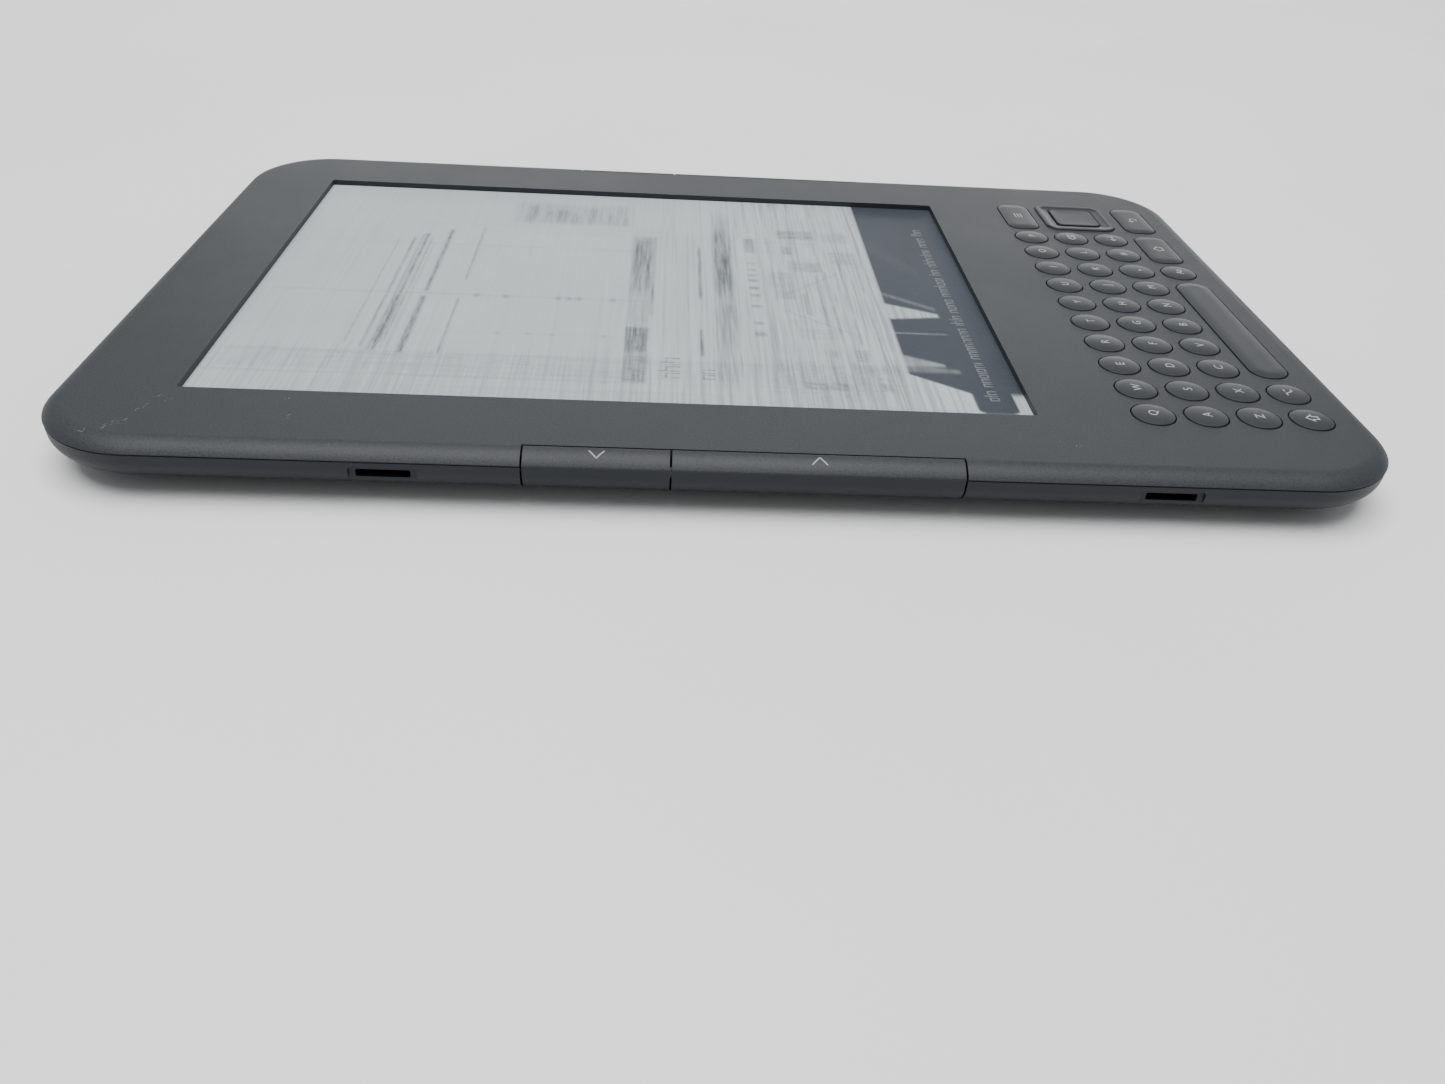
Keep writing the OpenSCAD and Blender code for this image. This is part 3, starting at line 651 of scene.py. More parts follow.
def make_rear_cover():
    section = roll_arc(math.pi / 2, SPLIT_ANGLE, 0, 22)
    inner = section[-1][0] - 1.7
    section += [(inner, SPLIT_Z), (inner, FLOOR_T)]
    bm = bmesh.new()
    loft(bm, case_rings(section))
    obj = mesh_object("rear_cover_shell", bm)
    holes = bmesh.new()
    grille_x, grille_y, pitch, hole_r = 45.5, -71, 1.7, 0.5
    for side in (1, -1):
        for column in range(-3, 4):
            for row in (-1, 0, 1):
                at = (side * grille_x + column * pitch, grille_y + row * pitch)
                prism(holes, circle_outline(hole_r, at, 20), -PAST, FLOOR_T + PAST)
    carve(obj, holes)
    complete(obj, "case", "rear_shell", ["rear_cover"], 0.09)


# Keys

WIDE_KEYS = ["key_space", "key_menu", "key_home", "key_back"]
ROUND_KEYS = [n for n in frame["nodes"] if n.startswith("key_") and n not in WIDE_KEYS]
PAD_AT = tuple(middle_mm("five_way_ring"))[:2]
RING_HALF = 6.9
RING_R = 2.4
SELECT_HALF = 4.3


def wide_half(node):
    """Half width, half depth and corner radius of a wide key's top."""
    low, high = node_mm(node)
    half_y = (high.y - low.y) / 2 - FLANGE_OUT
    half_x = (high.x - low.x) / 2 - FLANGE_OUT
    return half_x, half_y, (half_y - 0.05 if node == "key_space" else WIDE_R)


def crown_points(radius, rim, crown, steps=10, power=2.5):
    """Heights over a dome from its rim to its middle."""
    points = []
    for i in range(steps + 1):
        r = radius * (1 - i / steps)
        points.append((r, FACE_Z + crown - (crown - rim) * (r / radius) ** power))
    return points


def fillet(z, size=0.1, steps=4):
    """Quarter round on an outer top edge: (distance in, height) from the wall to the top."""
    return [(size * (1 - math.cos(a)), z - size + size * math.sin(a))
            for a in (math.pi / 2 * i / steps for i in range(steps + 1))]


def make_round_key(node):
    low, stem_r, lip = node_mm(node)[0].z, 1.3, KEY_R + FLANGE_OUT
    profile = [(0, low), (stem_r, low), (stem_r, FLANGE_LOW), (lip, FLANGE_LOW),
               (lip, FLANGE_TOP), (KEY_R, FLANGE_TOP)]
    edge = fillet(FACE_Z + KEY_RIM)
    profile += [(KEY_R - inset, z) for inset, z in edge]
    profile += crown_points(KEY_R - edge[-1][0], KEY_RIM, KEY_CROWN)[1:]
    bm = bmesh.new()
    lathe(bm, profile, middle_mm(node))
    complete(mesh_object(node + "_cap", bm), node, "key_cap", [node])


def make_wide_key(node):
    at, (half_x, half_y, radius) = middle_mm(node), wide_half(node)
    rim_z = FACE_Z + WIDE_RIM
    rings = [block_ring(half_x + lap, half_y + lap, radius, z, 0, at, KEY_STEPS)
             for lap, z in ((FLANGE_OUT, FLANGE_LOW), (FLANGE_OUT, FLANGE_TOP), (0, FLANGE_TOP))]
    top = fillet(rim_z)
    pillow, steps = 2.0, 9
    for i in range(1, steps + 1):
        t = i / steps
        top.append((0.1 + pillow * t, rim_z + (WIDE_CROWN - WIDE_RIM) * (1 - (1 - t) ** 2.2)))
    rings += [block_ring(half_x, half_y, radius, z, inset, at, KEY_STEPS) for inset, z in top]
    bm = bmesh.new()
    loft(bm, rings)
    complete(mesh_object(node + "_cap", bm), node, "key_cap", [node])


def pad_ring(half, radius, z, inset=0.0):
    return block_ring(half, half, radius, z, inset, PAD_AT, KEY_STEPS)


def make_pad():
    """The tilting ring, a raised frame that slopes in, and the select button inside it."""
    low, inner, top = node_mm("five_way_ring")[0].z, SELECT_HALF + 0.3, FACE_Z + 0.3
    skirt_top, skirt_out, web_z = low + 0.3, 0.5, UNDER_Z + 0.1
    rings = [pad_ring(RING_HALF + skirt_out, RING_R, z) for z in (low, skirt_top)]
    rings += [pad_ring(RING_HALF, RING_R, z, inset)
              for inset, z in [(0, skirt_top)] + fillet(top, 0.3, 6)]
    rings += [pad_ring(RING_HALF, RING_R, top - drop, inset) for inset, drop in (
        (0.75, 0.0), (0.95, 0.05), (1.25, 0.17), (1.6, 0.22), (2.1, 0.24))]
    rings += [pad_ring(inner, 1.3, z) for z in (top - 0.34, web_z)]
    rings += [pad_ring(inner + 0.65, 1.6, z) for z in (web_z, low)]
    bm = bmesh.new()
    loft(bm, rings, True)
    complete(mesh_object("five_way_frame", bm), "five_way_ring", "pad_ring", ["five_way_ring"])

    foot, flange, stem_r, top = 6.2, 6.85, 1.4, FACE_Z + 0.24
    flange_top, corner_r = flange + 0.2, 1.0
    rings = [circle_ring(stem_r, z, PAD_AT, KEY_STEPS) for z in (foot, flange)]
    rings += [pad_ring(SELECT_HALF + 0.6, 1.2, z) for z in (flange, flange_top)]
    rings += [pad_ring(SELECT_HALF, corner_r, z, inset)
              for inset, z in [(0, flange_top)] + fillet(top, 0.16, 5)]
    rings += [pad_ring(SELECT_HALF, corner_r, top - drop, inset) for inset, drop in (
        (0.5, 0.0), (0.8, 0.015), (1.3, 0.04), (2.4, 0.06))]
    bm = bmesh.new()
    loft(bm, rings)
    obj = mesh_object("five_way_select_cap", bm)
    complete(obj, "five_way_select", "pad_select", ["five_way_select"])


# Page buttons and the controls in the bottom edge

def make_page_button(node):
    """A skin over band, side and roll, with a web in to the bead that the button turns on."""
    low, high = node_mm(node)
    side = 1 if high.x > 0 else -1
    start = PAGE_GAP / 2
    foot_angle = math.asin(1 - (low.z / ROLL_H))
    skin_u = CORNER_R - SIDE_IN - PAGE_SKIN
    pivot_u = PAGE_PIVOT_X - CORE_X
    web_low, web_high, bead, lip_z = 6.0, 6.5, 0.35, UNDER_Z - 0.05
    section = band_arc(math.asin(start / BAND_R)) + roll_arc(0, foot_angle)
    section += roll_arc(foot_angle, 0, PAGE_SKIN)
    section += [(skin_u, web_low), (pivot_u, web_low), (pivot_u - bead, (web_low + web_high) / 2),
                (pivot_u, web_high), (skin_u, web_high), (skin_u, lip_z),
                (BAND_START + start, lip_z)]
    bm = bmesh.new()
    prism(bm, [(side * (CORE_X + u), z) for u, z in section], low.y, high.y, "y")
    complete(mesh_object(node + "_cap", bm), node, "page_button", [node], 0.08)


def upright_ring(half_x, half_z, radius, y, inset, centre):
    """Rounded rectangle that faces along Y."""
    flat = block_ring(half_x, half_z, radius, 0, inset, centre, 6)
    return [(p[0], y, p[1]) for p in flat]


def make_edge_control(node, half_x, half_z, lap, ridges=()):
    """A knob that reaches out through the bottom wall from an inner plate."""
    out, plate = -HALF_L + 0.2, -92.9
    centre_x = middle_mm(node).x
    centre = (centre_x, PORT_Z)
    rings = [upright_ring(half_x + lap, 1.3, 0.4, y, 0, centre) for y in (plate + 0.7, plate)]
    rings += [upright_ring(half_x, half_z, 0.5, y, inset, centre)
              for inset, y in ((0, plate), (0, out + 0.3), (0.04, out + 0.15), (0.14, out + 0.04),
                               (0.3, out))]
    bm = bmesh.new()
    loft(bm, rings)
    obj = mesh_object(node + "_cap", bm)
    if ridges:
        grooves = bmesh.new()
        for x in ridges:
            outline = box_outline((centre_x + x - 0.2, out - 1), (centre_x + x + 0.2, out + 0.22))
            prism(grooves, outline, PORT_Z - 2, PORT_Z + 2)
        carve(obj, grooves)
    complete(obj, node, "edge_control", [node], 0.05)


# Legends: thin flat-topped marks, each riding on its own key

def glyph(bm, text, height):
    """Letters as a flat mesh about its middle, in millimetres, by their capital height."""
    curve = bpy.data.curves.new("glyph", "FONT")
    curve.body = text
    curve.size = 1.0
    curve.resolution_u = 5
    curve.extrude = MARK_HALF
    obj = add_object("glyph", curve)
    mesh = evaluated_mesh(obj)
    bm.from_mesh(mesh)
    bmesh.ops.remove_doubles(bm, verts=bm.verts, dist=0.0001)
    bpy.data.objects.remove(obj)
    bpy.data.curves.remove(curve)
    bpy.data.meshes.remove(mesh)
    capital = 0.73
    xs, ys = [v.co.x for v in bm.verts], [v.co.y for v in bm.verts]
    mid = Vector(((min(xs) + max(xs)) / 2, (min(ys) + max(ys)) / 2, 0))
    for v in bm.verts:
        v.co -= mid
        v.co.x *= height / capital
        v.co.y *= height / capital


def stroke(bm, points, width):
    """A line of even width with mitred corners, closed if its last point is its first."""
    closed = points[0] == points[-1]
    pts = [Vector(p) for p in (points[:-1] if closed else points)]
    count = len(pts)
    spans = [(pts[(i + 1) % count] - pts[i]).normalized()
             for i in range(count if closed else count - 1)]
    rows = []
    for i, at in enumerate(pts):
        before = spans[i - 1] if closed or i > 0 else spans[0]
        after = spans[i] if i < len(spans) else spans[-1]
        along = (before + after).normalized()
        across = Vector((-along.y, along.x)) * width / 2 / along.dot(before)
        left, right = at + across, at - across
        rows.append([(left.x, left.y, MARK_HALF), (right.x, right.y, MARK_HALF),
                     (right.x, right.y, -MARK_HALF), (left.x, left.y, -MARK_HALF)])
    loft(bm, rows, closed)


LINE = 0.22
BACK_ARC = [(0.35 + 0.6 * math.cos(a), -0.1 + 0.6 * math.sin(a))
            for a in (math.pi * (0.5 - i / 8) for i in range(9))]

# Generic signs, as lines, for the keys that carry no letter
PICTOGRAMS = {
    "key_shift": [[(-0.9, 0.0), (0, 0.95), (0.9, 0.0), (0.42, 0.0), (0.42, -0.9),
                   (-0.42, -0.9), (-0.42, 0.0), (-0.9, 0.0)]],
    "key_delete": [[(-1.2, 0), (-0.55, 0.65), (1.1, 0.65), (1.1, -0.65), (-0.55, -0.65),
                    (-1.2, 0)],
                   [(-0.15, -0.3), (0.5, 0.3)], [(-0.15, 0.3), (0.04, 0.125)],
                   [(0.31, -0.125), (0.5, -0.3)]],
    "key_enter": [[(1.0, 0.75), (1.0, -0.3), (-0.75, -0.3)],
                  [(-0.3, 0.25), (-0.95, -0.3), (-0.3, -0.85)]],
    "key_alt": [[(-0.95, 0.55), (-0.3, 0.55), (0.35, -0.55), (0.95, -0.55)],
                [(0.35, 0.55), (0.95, 0.55)]],
    "key_menu": [[(-1.1, y), (1.1, y)] for y in (-0.6, 0, 0.6)],
    "key_home": [[(-1.15, 0.0), (0, 0.95), (1.15, 0.0)],
                 [(-0.75, 0.1), (-0.75, -0.8), (0.75, -0.8), (0.75, 0.1)]],
    "key_back": [[(-0.82, 0.5)] + BACK_ARC + [(-0.4, -0.7)],
                 [(-0.45, 1.0), (-1.0, 0.5), (-0.45, 0.0)]],
}
SIGNS = {"key_symbol": "#", "key_text_size": "Aa"}


def make_legend(node):
    """The sign on a key: lines, a dot for the full stop, or letters."""
    bm = bmesh.new()
    if node in PICTOGRAMS:
        for points in PICTOGRAMS[node]:
            stroke(bm, points, LINE)
    elif node == "key_full_stop":
        prism(bm, circle_outline(0.28, (0, -0.5), 20), -MARK_HALF, MARK_HALF)
    else:
        glyph(bm, SIGNS.get(node, node[4:].upper()), LETTER_HEIGHT)
    at = middle_mm(node)
    crown = WIDE_CROWN if node in WIDE_KEYS else KEY_CROWN
    top, depth = FACE_Z + crown + 0.012, 0.1
    for v in bm.verts:
        v.co.x += at.x
        v.co.y += at.y
        v.co.z = top if v.co.z > 0 else top - depth
    complete(mesh_object(node + "_legend", bm), node, "legend")


def make_chevron(node, points_out):
    """A small chevron printed on the sloping band of a page button."""
    low, high = node_mm(node)
    side = 1 if high.x > 0 else -1
    mid_y = (low.y + high.y) / 2
    reach, half_y, width, steps = (0.8, 2.0), 1.05, 0.19, 6
    tip, tail = (reach[1], reach[0]) if points_out else (reach[0], reach[1])
    bm = bmesh.new()
    for arm in (1, -1):
        rows = []
        for i in range(steps + 1):
            t = i / steps
            u = BAND_START + tip + (tail - tip) * t
            y = mid_y + arm * half_y * t
            along = Vector((tail - tip, arm * half_y)).normalized()
            across = Vector((-along.y, along.x)) * width / 2
            row = []
            for sign, lift in ((-1, 0.015), (1, 0.015), (1, -0.05), (-1, -0.05)):
                pu, py = u + sign * across.x, y + sign * across.y
                row.append((side * (CORE_X + pu), py, band_height(pu) + lift))
            rows.append(row)
        loft(bm, rows)
    complete(mesh_object(node + "_chevron", bm), node, "legend")


# What the screen shows: a generic page that has faded into streaks

# The sheet that carries the page: its reach past the opening, its grid and its thickness
SHEET_LAP = 0.4
SHEET_COLUMNS = 191
SHEET_ROWS = 421
SHEET_THICK = 0.02


def ramp(depth, soft):
    """0 outside, 1 inside, with a smooth step of the given width on the border."""
    t = np.clip(depth / soft + 0.5, 0, 1)
    return t * t * (3 - 2 * t)


def broken(rng, lines, length, pitch):
    """Uneven values along each line, with a new random value every pitch points."""
    knots = rng.rand(lines, int(length / pitch) + 2)
    at = np.arange(length) / pitch
    low = at.astype(int)
    part = at - low
    return knots[:, low] * (1 - part) + knots[:, low + 1] * part


class Picture:
    """Ink and slate cover, 0 to 1, at the points of a fine grid over the screen."""

    def __init__(self):
        xs = np.linspace(-SCREEN_X - SHEET_LAP, SCREEN_X + SHEET_LAP, SHEET_COLUMNS)
        ys = np.linspace(SCREEN_LOW - SHEET_LAP, SCREEN_HIGH + SHEET_LAP, SHEET_ROWS)
        self.x, self.y = np.meshgrid(xs, ys)
        self.ink = np.zeros(self.x.shape)
        self.slate = np.zeros(self.x.shape)
        rng = np.random.RandomState(5)
        self.streak = broken(rng, SHEET_ROWS, SHEET_COLUMNS, 11)
        self.dash = broken(rng, SHEET_ROWS, SHEET_COLUMNS, 2.3)
        self.column = broken(rng, SHEET_COLUMNS, SHEET_ROWS, 30).T
        self.tick = np.repeat(rng.rand(SHEET_ROWS // 4 + 1, SHEET_COLUMNS), 4, 0)[:SHEET_ROWS]

    def area(self, x0, x1, y0, y1, soft_x=1.2, soft_y=0.35):
        return (ramp(self.x - x0, soft_x) * ramp(x1 - self.x, soft_x)
                * ramp(self.y - y0, soft_y) * ramp(y1 - self.y, soft_y))

    def block(self, x0, x1, y0, y1, radius, soft=0.3):
        """Rectangle with round corners."""
        dx = np.maximum(np.abs(self.x - (x0 + x1) / 2) - (x1 - x0) / 2 + radius, 0)
        dy = np.maximum(np.abs(self.y - (y0 + y1) / 2) - (y1 - y0) / 2 + radius, 0)
        return ramp(radius - np.hypot(dx, dy), soft)

    def wedge(self, y0, y1, x0_low, x1_low, x0_high, x1_high, soft=0.5):
        """Area between two slanting edges, given at its lower and upper end."""
        t = (self.y - y0) / (y1 - y0)
        left, right = x0_low + (x0_high - x0_low) * t, x1_low + (x1_high - x1_low) * t
        return (ramp(self.x - left, soft) * ramp(right - self.x, soft)
                * ramp(self.y - y0, 0.3) * ramp(y1 - self.y, 0.3))

    def press(self, cover, strength):
        self.ink += (1 - self.ink) * cover * strength


def paint_upper(page):
    """Ruled lines, ghost columns and the smudge near the right edge."""
    for x0, x1, y, thick, strength in (
        (-27, 17, 59.5, 0.3, 0.5), (-28.3, 18, 56.8, 0.4, 0.85),
        (-29.6, 20, 55.5, 0.35, 0.7), (-29.6, 20.4, 54.7, 0.7, 0.85),
        (-29, 18, 53.7, 0.4, 0.6), (-29, 16, 52.9, 0.3, 0.4),
        (-27, -8.5, 54.6, 1.2, 0.7), (-30, -8.6, 50.6, 0.95, 0.95),
        (-6.5, 23, 50.6, 0.8, 0.9), (-30, -9, 44.8, 0.4, 0.75),
        (-1, 24, 44.8, 0.4, 0.65), (-29, 22, 51.5, 0.3, 0.22),
    ):
        rough = 0.35 + 0.65 * page.dash ** 0.7
        page.press(page.area(x0, x1, y - thick / 2, y + thick / 2, 1.5, 0.36) * rough, strength)
    for x, y0, y1, wide, strength in (
        (-7.4, 13, 76, 0.9, 0.16), (-21.9, 18, 47, 0.7, 0.1), (15.4, 13, 77, 0.8, 0.15),
        (22.8, -20, 44, 0.6, 0.1), (-37.4, -27, 77, 0.6, 0.16),
        (-33, -27, 77, 6.5, 0.1), (-30, -20, 77, 0.5, 0.12),
        (26, 10, 60, 1.5, 0.06), (-42, -27, 77, 3.5, 0.07),
    ):
        cover = page.area(x - wide / 2, x + wide / 2, y0, y1, 0.5, 6)
        page.press(cover * (0.4 + 0.6 * page.column), strength)
    page.press(page.area(-38, -29.6, 14, 76, 0.8, 12) * page.tick * page.column, 0.17)
    page.press(page.area(-44.5, -29, -27, 76, 3, 12) * page.streak ** 2, 0.15)
    for y in (42, 37.2, 28.4, 26.6, 24.9, 19.2):
        page.press(page.area(-8.3, -6.7, y - 0.5, y + 0.5, 0.8, 0.6), 0.42)
    for y in (36.8, 32, 28.2, 20):
        page.press(page.area(-22.3, -21.5, y - 0.4, y + 0.4, 0.6, 0.5), 0.32)
    smudge = page.area(28, 39.5, 17.5, 40, 4, 3)
    page.press(smudge * (0.25 + 0.75 * page.streak), 0.4)
    for y, half, x1, strength in ((36.8, 0.9, 37.5, 0.5), (33.6, 0.7, 35, 0.4),
                                  (30.9, 1.2, 36, 0.6), (28.4, 0.8, 34.5, 0.45),
                                  (24.9, 0.8, 37.5, 0.6), (21.6, 0.5, 34, 0.42),
                                  (18.4, 0.35, 33, 0.45)):
        patch = page.area(28.8, x1, y - half, y + half, 2.6, 1)
        page.press(patch * (0.35 + 0.65 * page.streak), strength)


def paint_middle(page):
    """Bands of broken lines across the page."""
    for x0, x1, y0, y1, soft, strength in (
        (-37.4, -17.8, 12.8, 16.6, 1.5, 0.6), (-27, -18, 13.2, 16.6, 1, 1),
        (-18, -4, 12.9, 16.7, 4, 0.4), (-4, 22.5, 12.9, 16.7, 5, 0.8),
        (2, 20, 13.3, 15.9, 7, 0.9), (-13, 23, 12.3, 12.8, 2, 0.95),
        (-27.8, -17.8, 4, 4.6, 1, 1), (-5, 18, 3.9, 4.6, 4, 0.9),
        (-33, 27, 6.3, 6.6, 8, 0.35), (-36, -10, 1.4, 1.7, 4, 0.4),
        (-37, 37, -1.9, 1.9, 9, 0.5), (-24, -8, -1.6, 1.2, 5, 0.35),
        (-4, 27, -1.7, 1.5, 6, 0.85), (0, 14, -1.3, 0.9, 5, 0.95),
        (17, 24.3, -6.4, -4.2, 1, 0.85), (25, 40, -3.6, -3, 4, 0.4),
    ):
        cover = page.area(x0, x1, y0, y1, soft, 0.36)
        page.press(cover * (0.2 + 0.8 * page.streak), strength)
    page.press(page.area(-37.4, -18, 13, 16.4, 1, 0.5) * page.tick ** 2, 0.5)
    for x, wide, strength in ((-18.8, 1.6, 0.6), (-14.6, 1, 0.5), (-7.6, 0.9, 0.65),
                              (-3, 1.4, 0.55), (0.2, 1.3, 0.7), (3.6, 1.4, 0.55),
                              (6, 0.9, 0.6), (8.6, 1.2, 0.5), (11.6, 1, 0.4)):
        page.press(page.area(x - wide / 2, x + wide / 2, -6.1, -4.4, 0.9, 0.7), strength)


def paint_lower(page):
    """Streaked ground, a stack of lines that widens downwards, and patches beside it."""
    ground = page.area(-45, 46, -27.4, -6.5, 3, 3)
    page.press(ground * page.streak ** 2.2, 0.36)
    page.press(page.area(-40, -28, -27, -6, 2, 4) * page.tick * page.streak, 0.35)
    for x0, x1, y0, y1, strength in (
        (24.9, 29.4, -18, -11, 0.85), (17, 21, -13.6, -11.4, 0.6),
        (8.5, 13.5, -18, -12, 0.55), (-37.6, -35.4, -18, -11, 0.6),
        (-37.4, -35.2, -24.3, -23, 0.8), (-27.8, -23.4, -22.2, -20.2, 0.75),
        (-26.6, -24, -17.2, -16.2, 0.6), (-31.6, -28.8, -25, -19.4, 0.42),
        (-20, -16, -19, -12, 0.3), (24, 29, -25, -19.5, 0.4),
        (13, 19, -24.5, -20, 0.4), (-4, 8, -12.5, -9, 0.45),
    ):
        cover = page.area(x0, x1, y0, y1, 1, 0.8)
        page.press(cover * (0.4 + 0.6 * page.tick) * (0.5 + 0.5 * page.streak), strength)
    for x0, x1, y, strength in (
        (-10.5, -1.5, -13.9, 0.8), (-11, 0, -14.5, 0.5), (-14.6, 6.5, -16.7, 0.75),
        (-17.8, 9, -18.6, 0.75), (-21.5, -11, -21.6, 0.7), (-9.6, 13.5, -21.6, 0.75),
        (-28.7, -11, -24.7, 0.65), (-0.5, 19, -24.7, 0.6), (17, 30, -17.4, 0.5),
        (26, 46, -10.4, 0.5), (18, 46, -18.4, 0.4), (12, 34, -11, 0.25),
        (-44, 44, -7.2, 0.2), (-44, 44, -26.2, 0.25),
    ):
        cover = page.area(x0, x1, y - 0.15, y + 0.15, 1.2, 0.36)
        page.press(cover * (0.55 + 0.45 * page.dash), strength)
    for foot, head in ((-18, -9.6), (8, -2.5)):
        line = page.wedge(-20.8, -10.5, foot, foot + 0.5, head, head + 0.5, 0.6)
        page.press(line, 0.3)


def paint_slate(page):
    """Slate ground at the foot with pale wedges in it, and the banner below."""
    edge = page.wedge(-37.5, -27.6, -38.2, 47, -31.4, 47, 0.7)
    for y0, y1, x0_low, x1_low, x0_high, x1_high, soft, pale in (
        (-36.6, -27.4, -9.4, -8.4, -10.8, -4.3, 0.9, 0.9),
        (-36.2, -27.4, -7, -5.6, -0.6, 0.9, 1.2, 0.16),
        (-34, -27.4, -28.4, -27.8, -28.6, -24.6, 1.2, 0.5),
        (-36, -27.4, -30.6, -29.6, -30.6, -27.8, 1.2, 0.22),
        (-36.4, -27.4, -16.4, -16.1, -16.5, -16.2, 0.5, 0.35),
        (-36, -27.6, 8, 12, 20, 26, 5, 0.02),
    ):
        edge = edge * (1 - pale * page.wedge(y0, y1, x0_low, x1_low, x0_high, x1_high, soft))
    foot = page.area(-37.5, 47, -46, -42, 2, 0.4) * (0.98 + 0.02 * page.tick)
    banner = page.block(-43.4, 60, -42.5, -36.3, 1.2)
    page.slate = np.maximum(np.maximum(edge, foot), banner)


def sheet_object(page):
    """The page as one closed sheet, with the ink and slate cover at each of its points."""
    rows, columns = page.x.shape
    count = rows * columns
    top = PANEL_Z + 0.004 + SHEET_THICK
    points = np.stack([page.x.ravel(), page.y.ravel(), np.full(count, top)], 1)
    corners = [0, columns - 1, count - 1, count - columns]
    under = points[corners] - (0, 0, SHEET_THICK)
    index = np.arange(count).reshape(rows, columns)
    quads = np.stack([index[:-1, :-1], index[:-1, 1:], index[1:, 1:], index[1:, :-1]], -1)
    faces = quads.reshape(-1, 4).tolist()
    sides = [index[0], index[:, -1], index[-1, ::-1], index[::-1, 0]]
    for i, side in enumerate(sides):
        faces.append([count + i, count + (i + 1) % 4] + side[::-1].tolist())
    faces.append([count + 3, count + 2, count + 1, count])
    mesh = bpy.data.meshes.new("screen_picture")
    mesh.from_pydata(np.concatenate([points, under]).tolist(), [], faces)
    for name, values in (("ink", page.ink), ("slate", page.slate)):
        layer = mesh.attributes.new(name, "FLOAT", "POINT")
        layer.data.foreach_set("value", np.append(values.ravel(), np.zeros(4)).astype("f"))
    return add_object("screen_picture", mesh)


def mark(bm, x0, x1, y0, y1):
    """A printed mark a few microns thick, just above the sheet."""
    base = PANEL_Z + SHEET_THICK + 0.006
    prism(bm, box_outline((x0, y0), (x1, y1)), base, base + 0.004)


def greeked(bm, rng, x, y, end, height, pen):
    """A line of letter-like posts and loops that spells nothing, in words."""
    word = rng.randint(2, 8)
    while x < end:
        kind = rng.choice("pnno")
        wide = pen if kind == "p" else height * 0.78
        tall = height * rng.choice((1.0, 1.0, 1.5))
        mark(bm, x, x + pen, y, y + (tall if kind != "o" else height))
        if kind != "p":
            mark(bm, x + wide - pen, x + wide, y, y + height)
            mark(bm, x + pen, x + wide - pen, y + height - pen, y + height)
        if kind == "o":
            mark(bm, x + pen, x + wide - pen, y, y + pen)
        x += wide + pen * 1.1
        word -= 1
        if word <= 0:
            x += height * 0.7
            word = rng.randint(2, 8)


def make_screen_picture():
    page = Picture()
    paint_upper(page)
    paint_middle(page)
    paint_lower(page)
    paint_slate(page)
    complete(sheet_object(page), "case", "screen", look="picture")
    rng = random.Random(5)
    for name, look, lines in (
        ("screen_text_marks", "faded_marks", ((-35.6, 7.8, -30.4, 2.3, 0.36),
                                              (-35.6, 2.5, -31.0, 1.9, 0.3))),
        ("screen_banner_marks", "banner_marks", ((-39.5, -40.2, 34.0, 1.5, 0.28),)),
    ):
        bm = bmesh.new()
        for line in lines:
            greeked(bm, rng, *line)
        complete(mesh_object(name, bm), "case", "screen", look=look)


# Wear: fine scratches and scuffs on the face, mostly near the upper left corner

def face_height(x, y):
    """Height of the case's top surface, which slopes down near its border."""
    u = math.hypot(max(abs(x) - CORE_X, 0), max(abs(y) - CORE_Y, 0))
    return FACE_Z if u <= BAND_START else band_height(u)


def scratch(bm, start, heading, length, width, bend):
    """A thin strip on the surface, pointed at both ends."""
    rows, steps = [], 5
    at = Vector(start)
    for i in range(steps + 1):
        t = i / steps
        along = Vector((math.cos(heading + bend * t), math.sin(heading + bend * t)))
        across = Vector((-along.y, along.x)) * width * (0.1 + math.sin(math.pi * t)) / 2
        row = []
        for sign, lift in ((-1, 0.004), (1, 0.004), (1, -0.02), (-1, -0.02)):
            x, y = at + across * sign
            row.append((x, y, face_height(x, y) + lift))
        rows.append(row)
        at += along * length / steps
    loft(bm, rows)


def make_scratches():
    rng = random.Random(11)
    bm = bmesh.new()
    for centre, spread, count, longest in (
        ((-58.2, 85.4), 0.3, 2, 1.8), ((-56.8, 83.6), 0.3, 2, 1.6), ((-55.8, 82.4), 0.9, 7, 1),
        ((-51.8, 81.1), 1.1, 5, 0.9), ((-49.1, 78.8), 1, 6, 1.1), ((-46.6, 89.1), 0.2, 1, 0.5),
        ((-48.2, 62.2), 0.8, 3, 0.4), ((-52.6, 60.7), 0.9, 3, 0.5), ((-54.5, -47.5), 0.5, 2, 0.9),
        ((-53, 70), 4, 4, 0.3), ((-52, -20), 9, 4, 0.3),
    ):
        for _ in range(count):
            start = (centre[0] + rng.uniform(-spread, spread),
                     centre[1] + rng.uniform(-spread, spread))
            heading = math.radians(rng.uniform(-70, -20) if rng.random() < 0.6
                                   else rng.uniform(0, 180))
            scratch(bm, start, heading, rng.uniform(0.3, 1) * longest,
                    rng.uniform(0.04, 0.1), rng.uniform(-0.6, 0.6))
    complete(mesh_object("case_scratches", bm), "case", "bezel", look="scuff")


# Stage

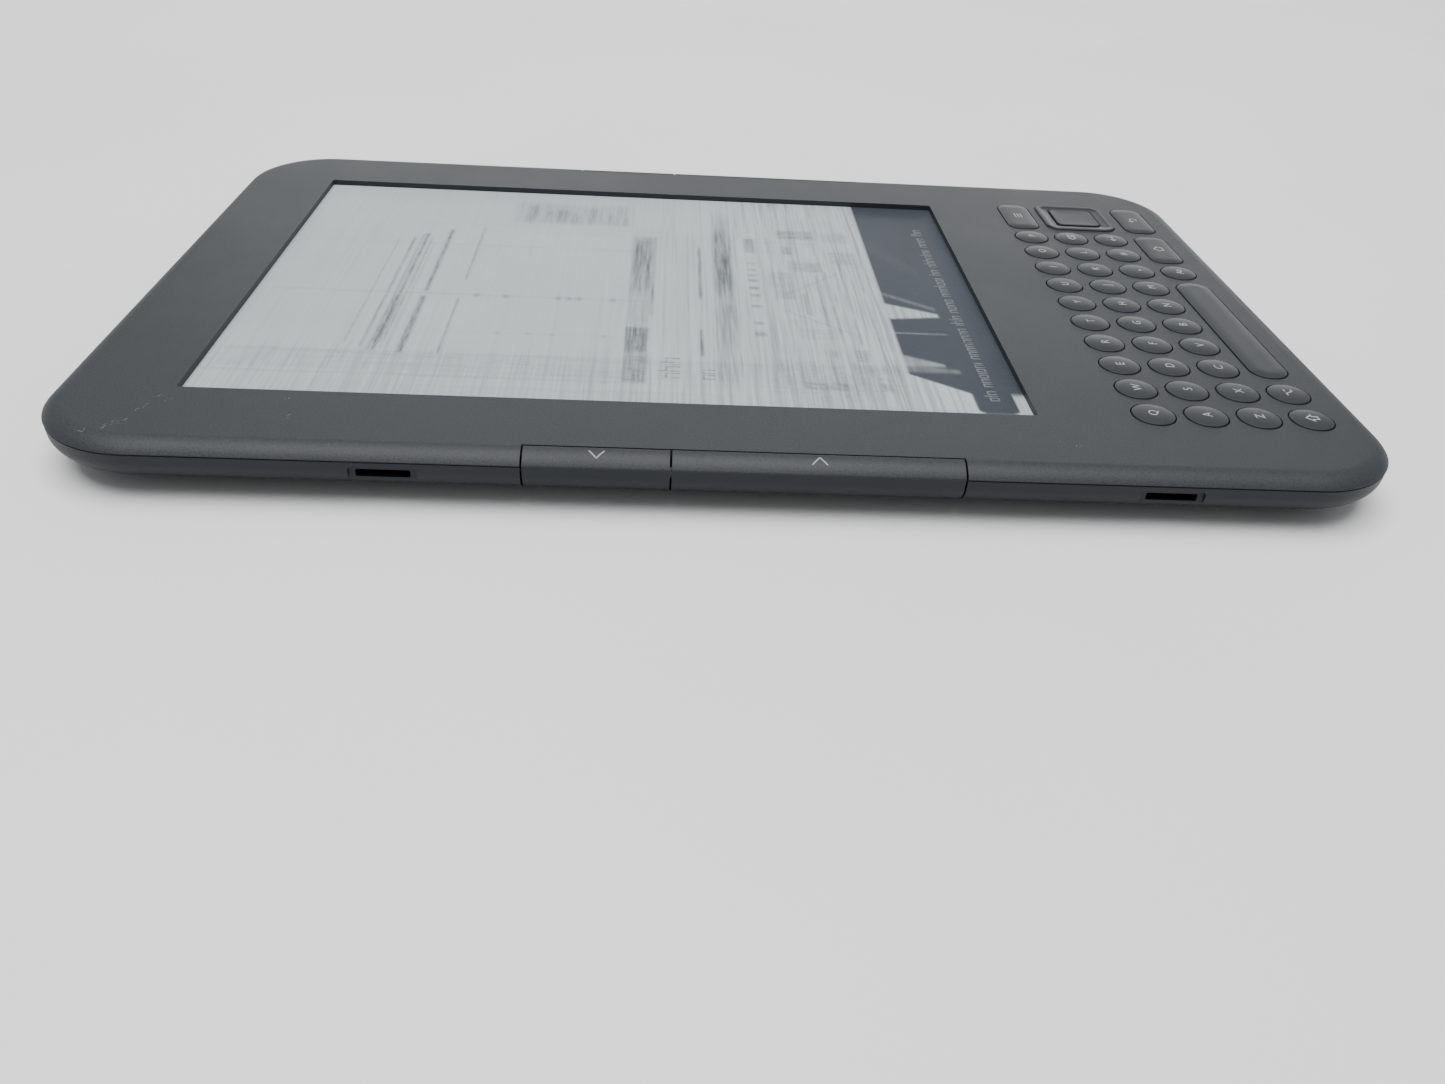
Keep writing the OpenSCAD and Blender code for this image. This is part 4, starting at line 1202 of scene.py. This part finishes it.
def make_stage():
    """Floor just below the object, even surroundings, a top light and a low far light."""
    mesh = bpy.data.meshes.new("floor")
    half, z = 4.0, -0.0002
    mesh.from_pydata([(-half, -half, z), (half, -half, z), (half, half, z), (-half, half, z)],
                     [], [(0, 1, 2, 3)])
    floor = add_object("floor", mesh)
    s = Shade("pale_floor")
    tone = s.remap(s.noise(9.0, 3.0), 0.3, 0.7)
    mesh.materials.append(s.finish(s.mix(tone, (0.74, 0.74, 0.735), (0.77, 0.77, 0.765)), 0.6))

    world = bpy.data.worlds.new("studio")
    world.use_nodes = True
    background = world.node_tree.nodes["Background"]
    background.inputs["Color"].default_value = (0.96, 0.98, 1.0, 1)
    background.inputs["Strength"].default_value = 0.5
    bpy.context.scene.world = world

    for name, at, width, height, power in (
        ("top_light", (-0.1, 0.1, 1.4), 1.3, 1.3, 38.0),
        ("far_light", (1.5, -0.15, 0.19), 1.8, 0.3, 7.0),
    ):
        data = bpy.data.lights.new(name, "AREA")
        data.shape = "RECTANGLE"
        data.size = width
        data.size_y = height
        data.energy = power
        light = add_object(name, data)
        light.location = at
        light.rotation_euler = (-Vector(at)).to_track_quat("-Z", "Y").to_euler()


def make_camera():
    """Camera low over the left side, looking across the object."""
    heading, tilt, roll = (math.radians(a) for a in (-3.84, -34.72, 3.75))
    forward = Vector((math.cos(tilt) * math.cos(heading), math.cos(tilt) * math.sin(heading),
                      math.sin(tilt)))
    level = forward.cross(Vector((0, 0, 1))).normalized()
    upright = level.cross(forward)
    right = level * math.cos(roll) + upright * math.sin(roll)
    up = right.cross(forward)
    data = bpy.data.cameras.new("camera")
    data.lens = 29.21
    data.sensor_width = 36.0
    data.clip_start = 0.005
    data.clip_end = 20.0
    camera = add_object("camera", data)
    turn = Matrix((right, up, -forward)).transposed().to_4x4()
    camera.matrix_world = Matrix.Translation((-0.1942, 0.01047, 0.08799)) @ turn
    bpy.context.scene.camera = camera


dress_cad_nodes()
make_bezel()
make_rear_cover()
for key in ROUND_KEYS:
    make_round_key(key)
    make_legend(key)
for key in WIDE_KEYS:
    make_wide_key(key)
    if key != "key_space":
        make_legend(key)
make_pad()
for side_name in ("left", "right"):
    make_page_button("page_prev_" + side_name)
    make_page_button("page_next_" + side_name)
    make_chevron("page_prev_" + side_name, side_name == "left")
    make_chevron("page_next_" + side_name, side_name == "right")
make_edge_control("volume_rocker", 7.0, 0.9, 0.6)
make_edge_control("power_slider", 4.0, 0.8, 1.2, (-1, 0, 1))
make_screen_picture()
make_scratches()
make_stage()
make_camera()
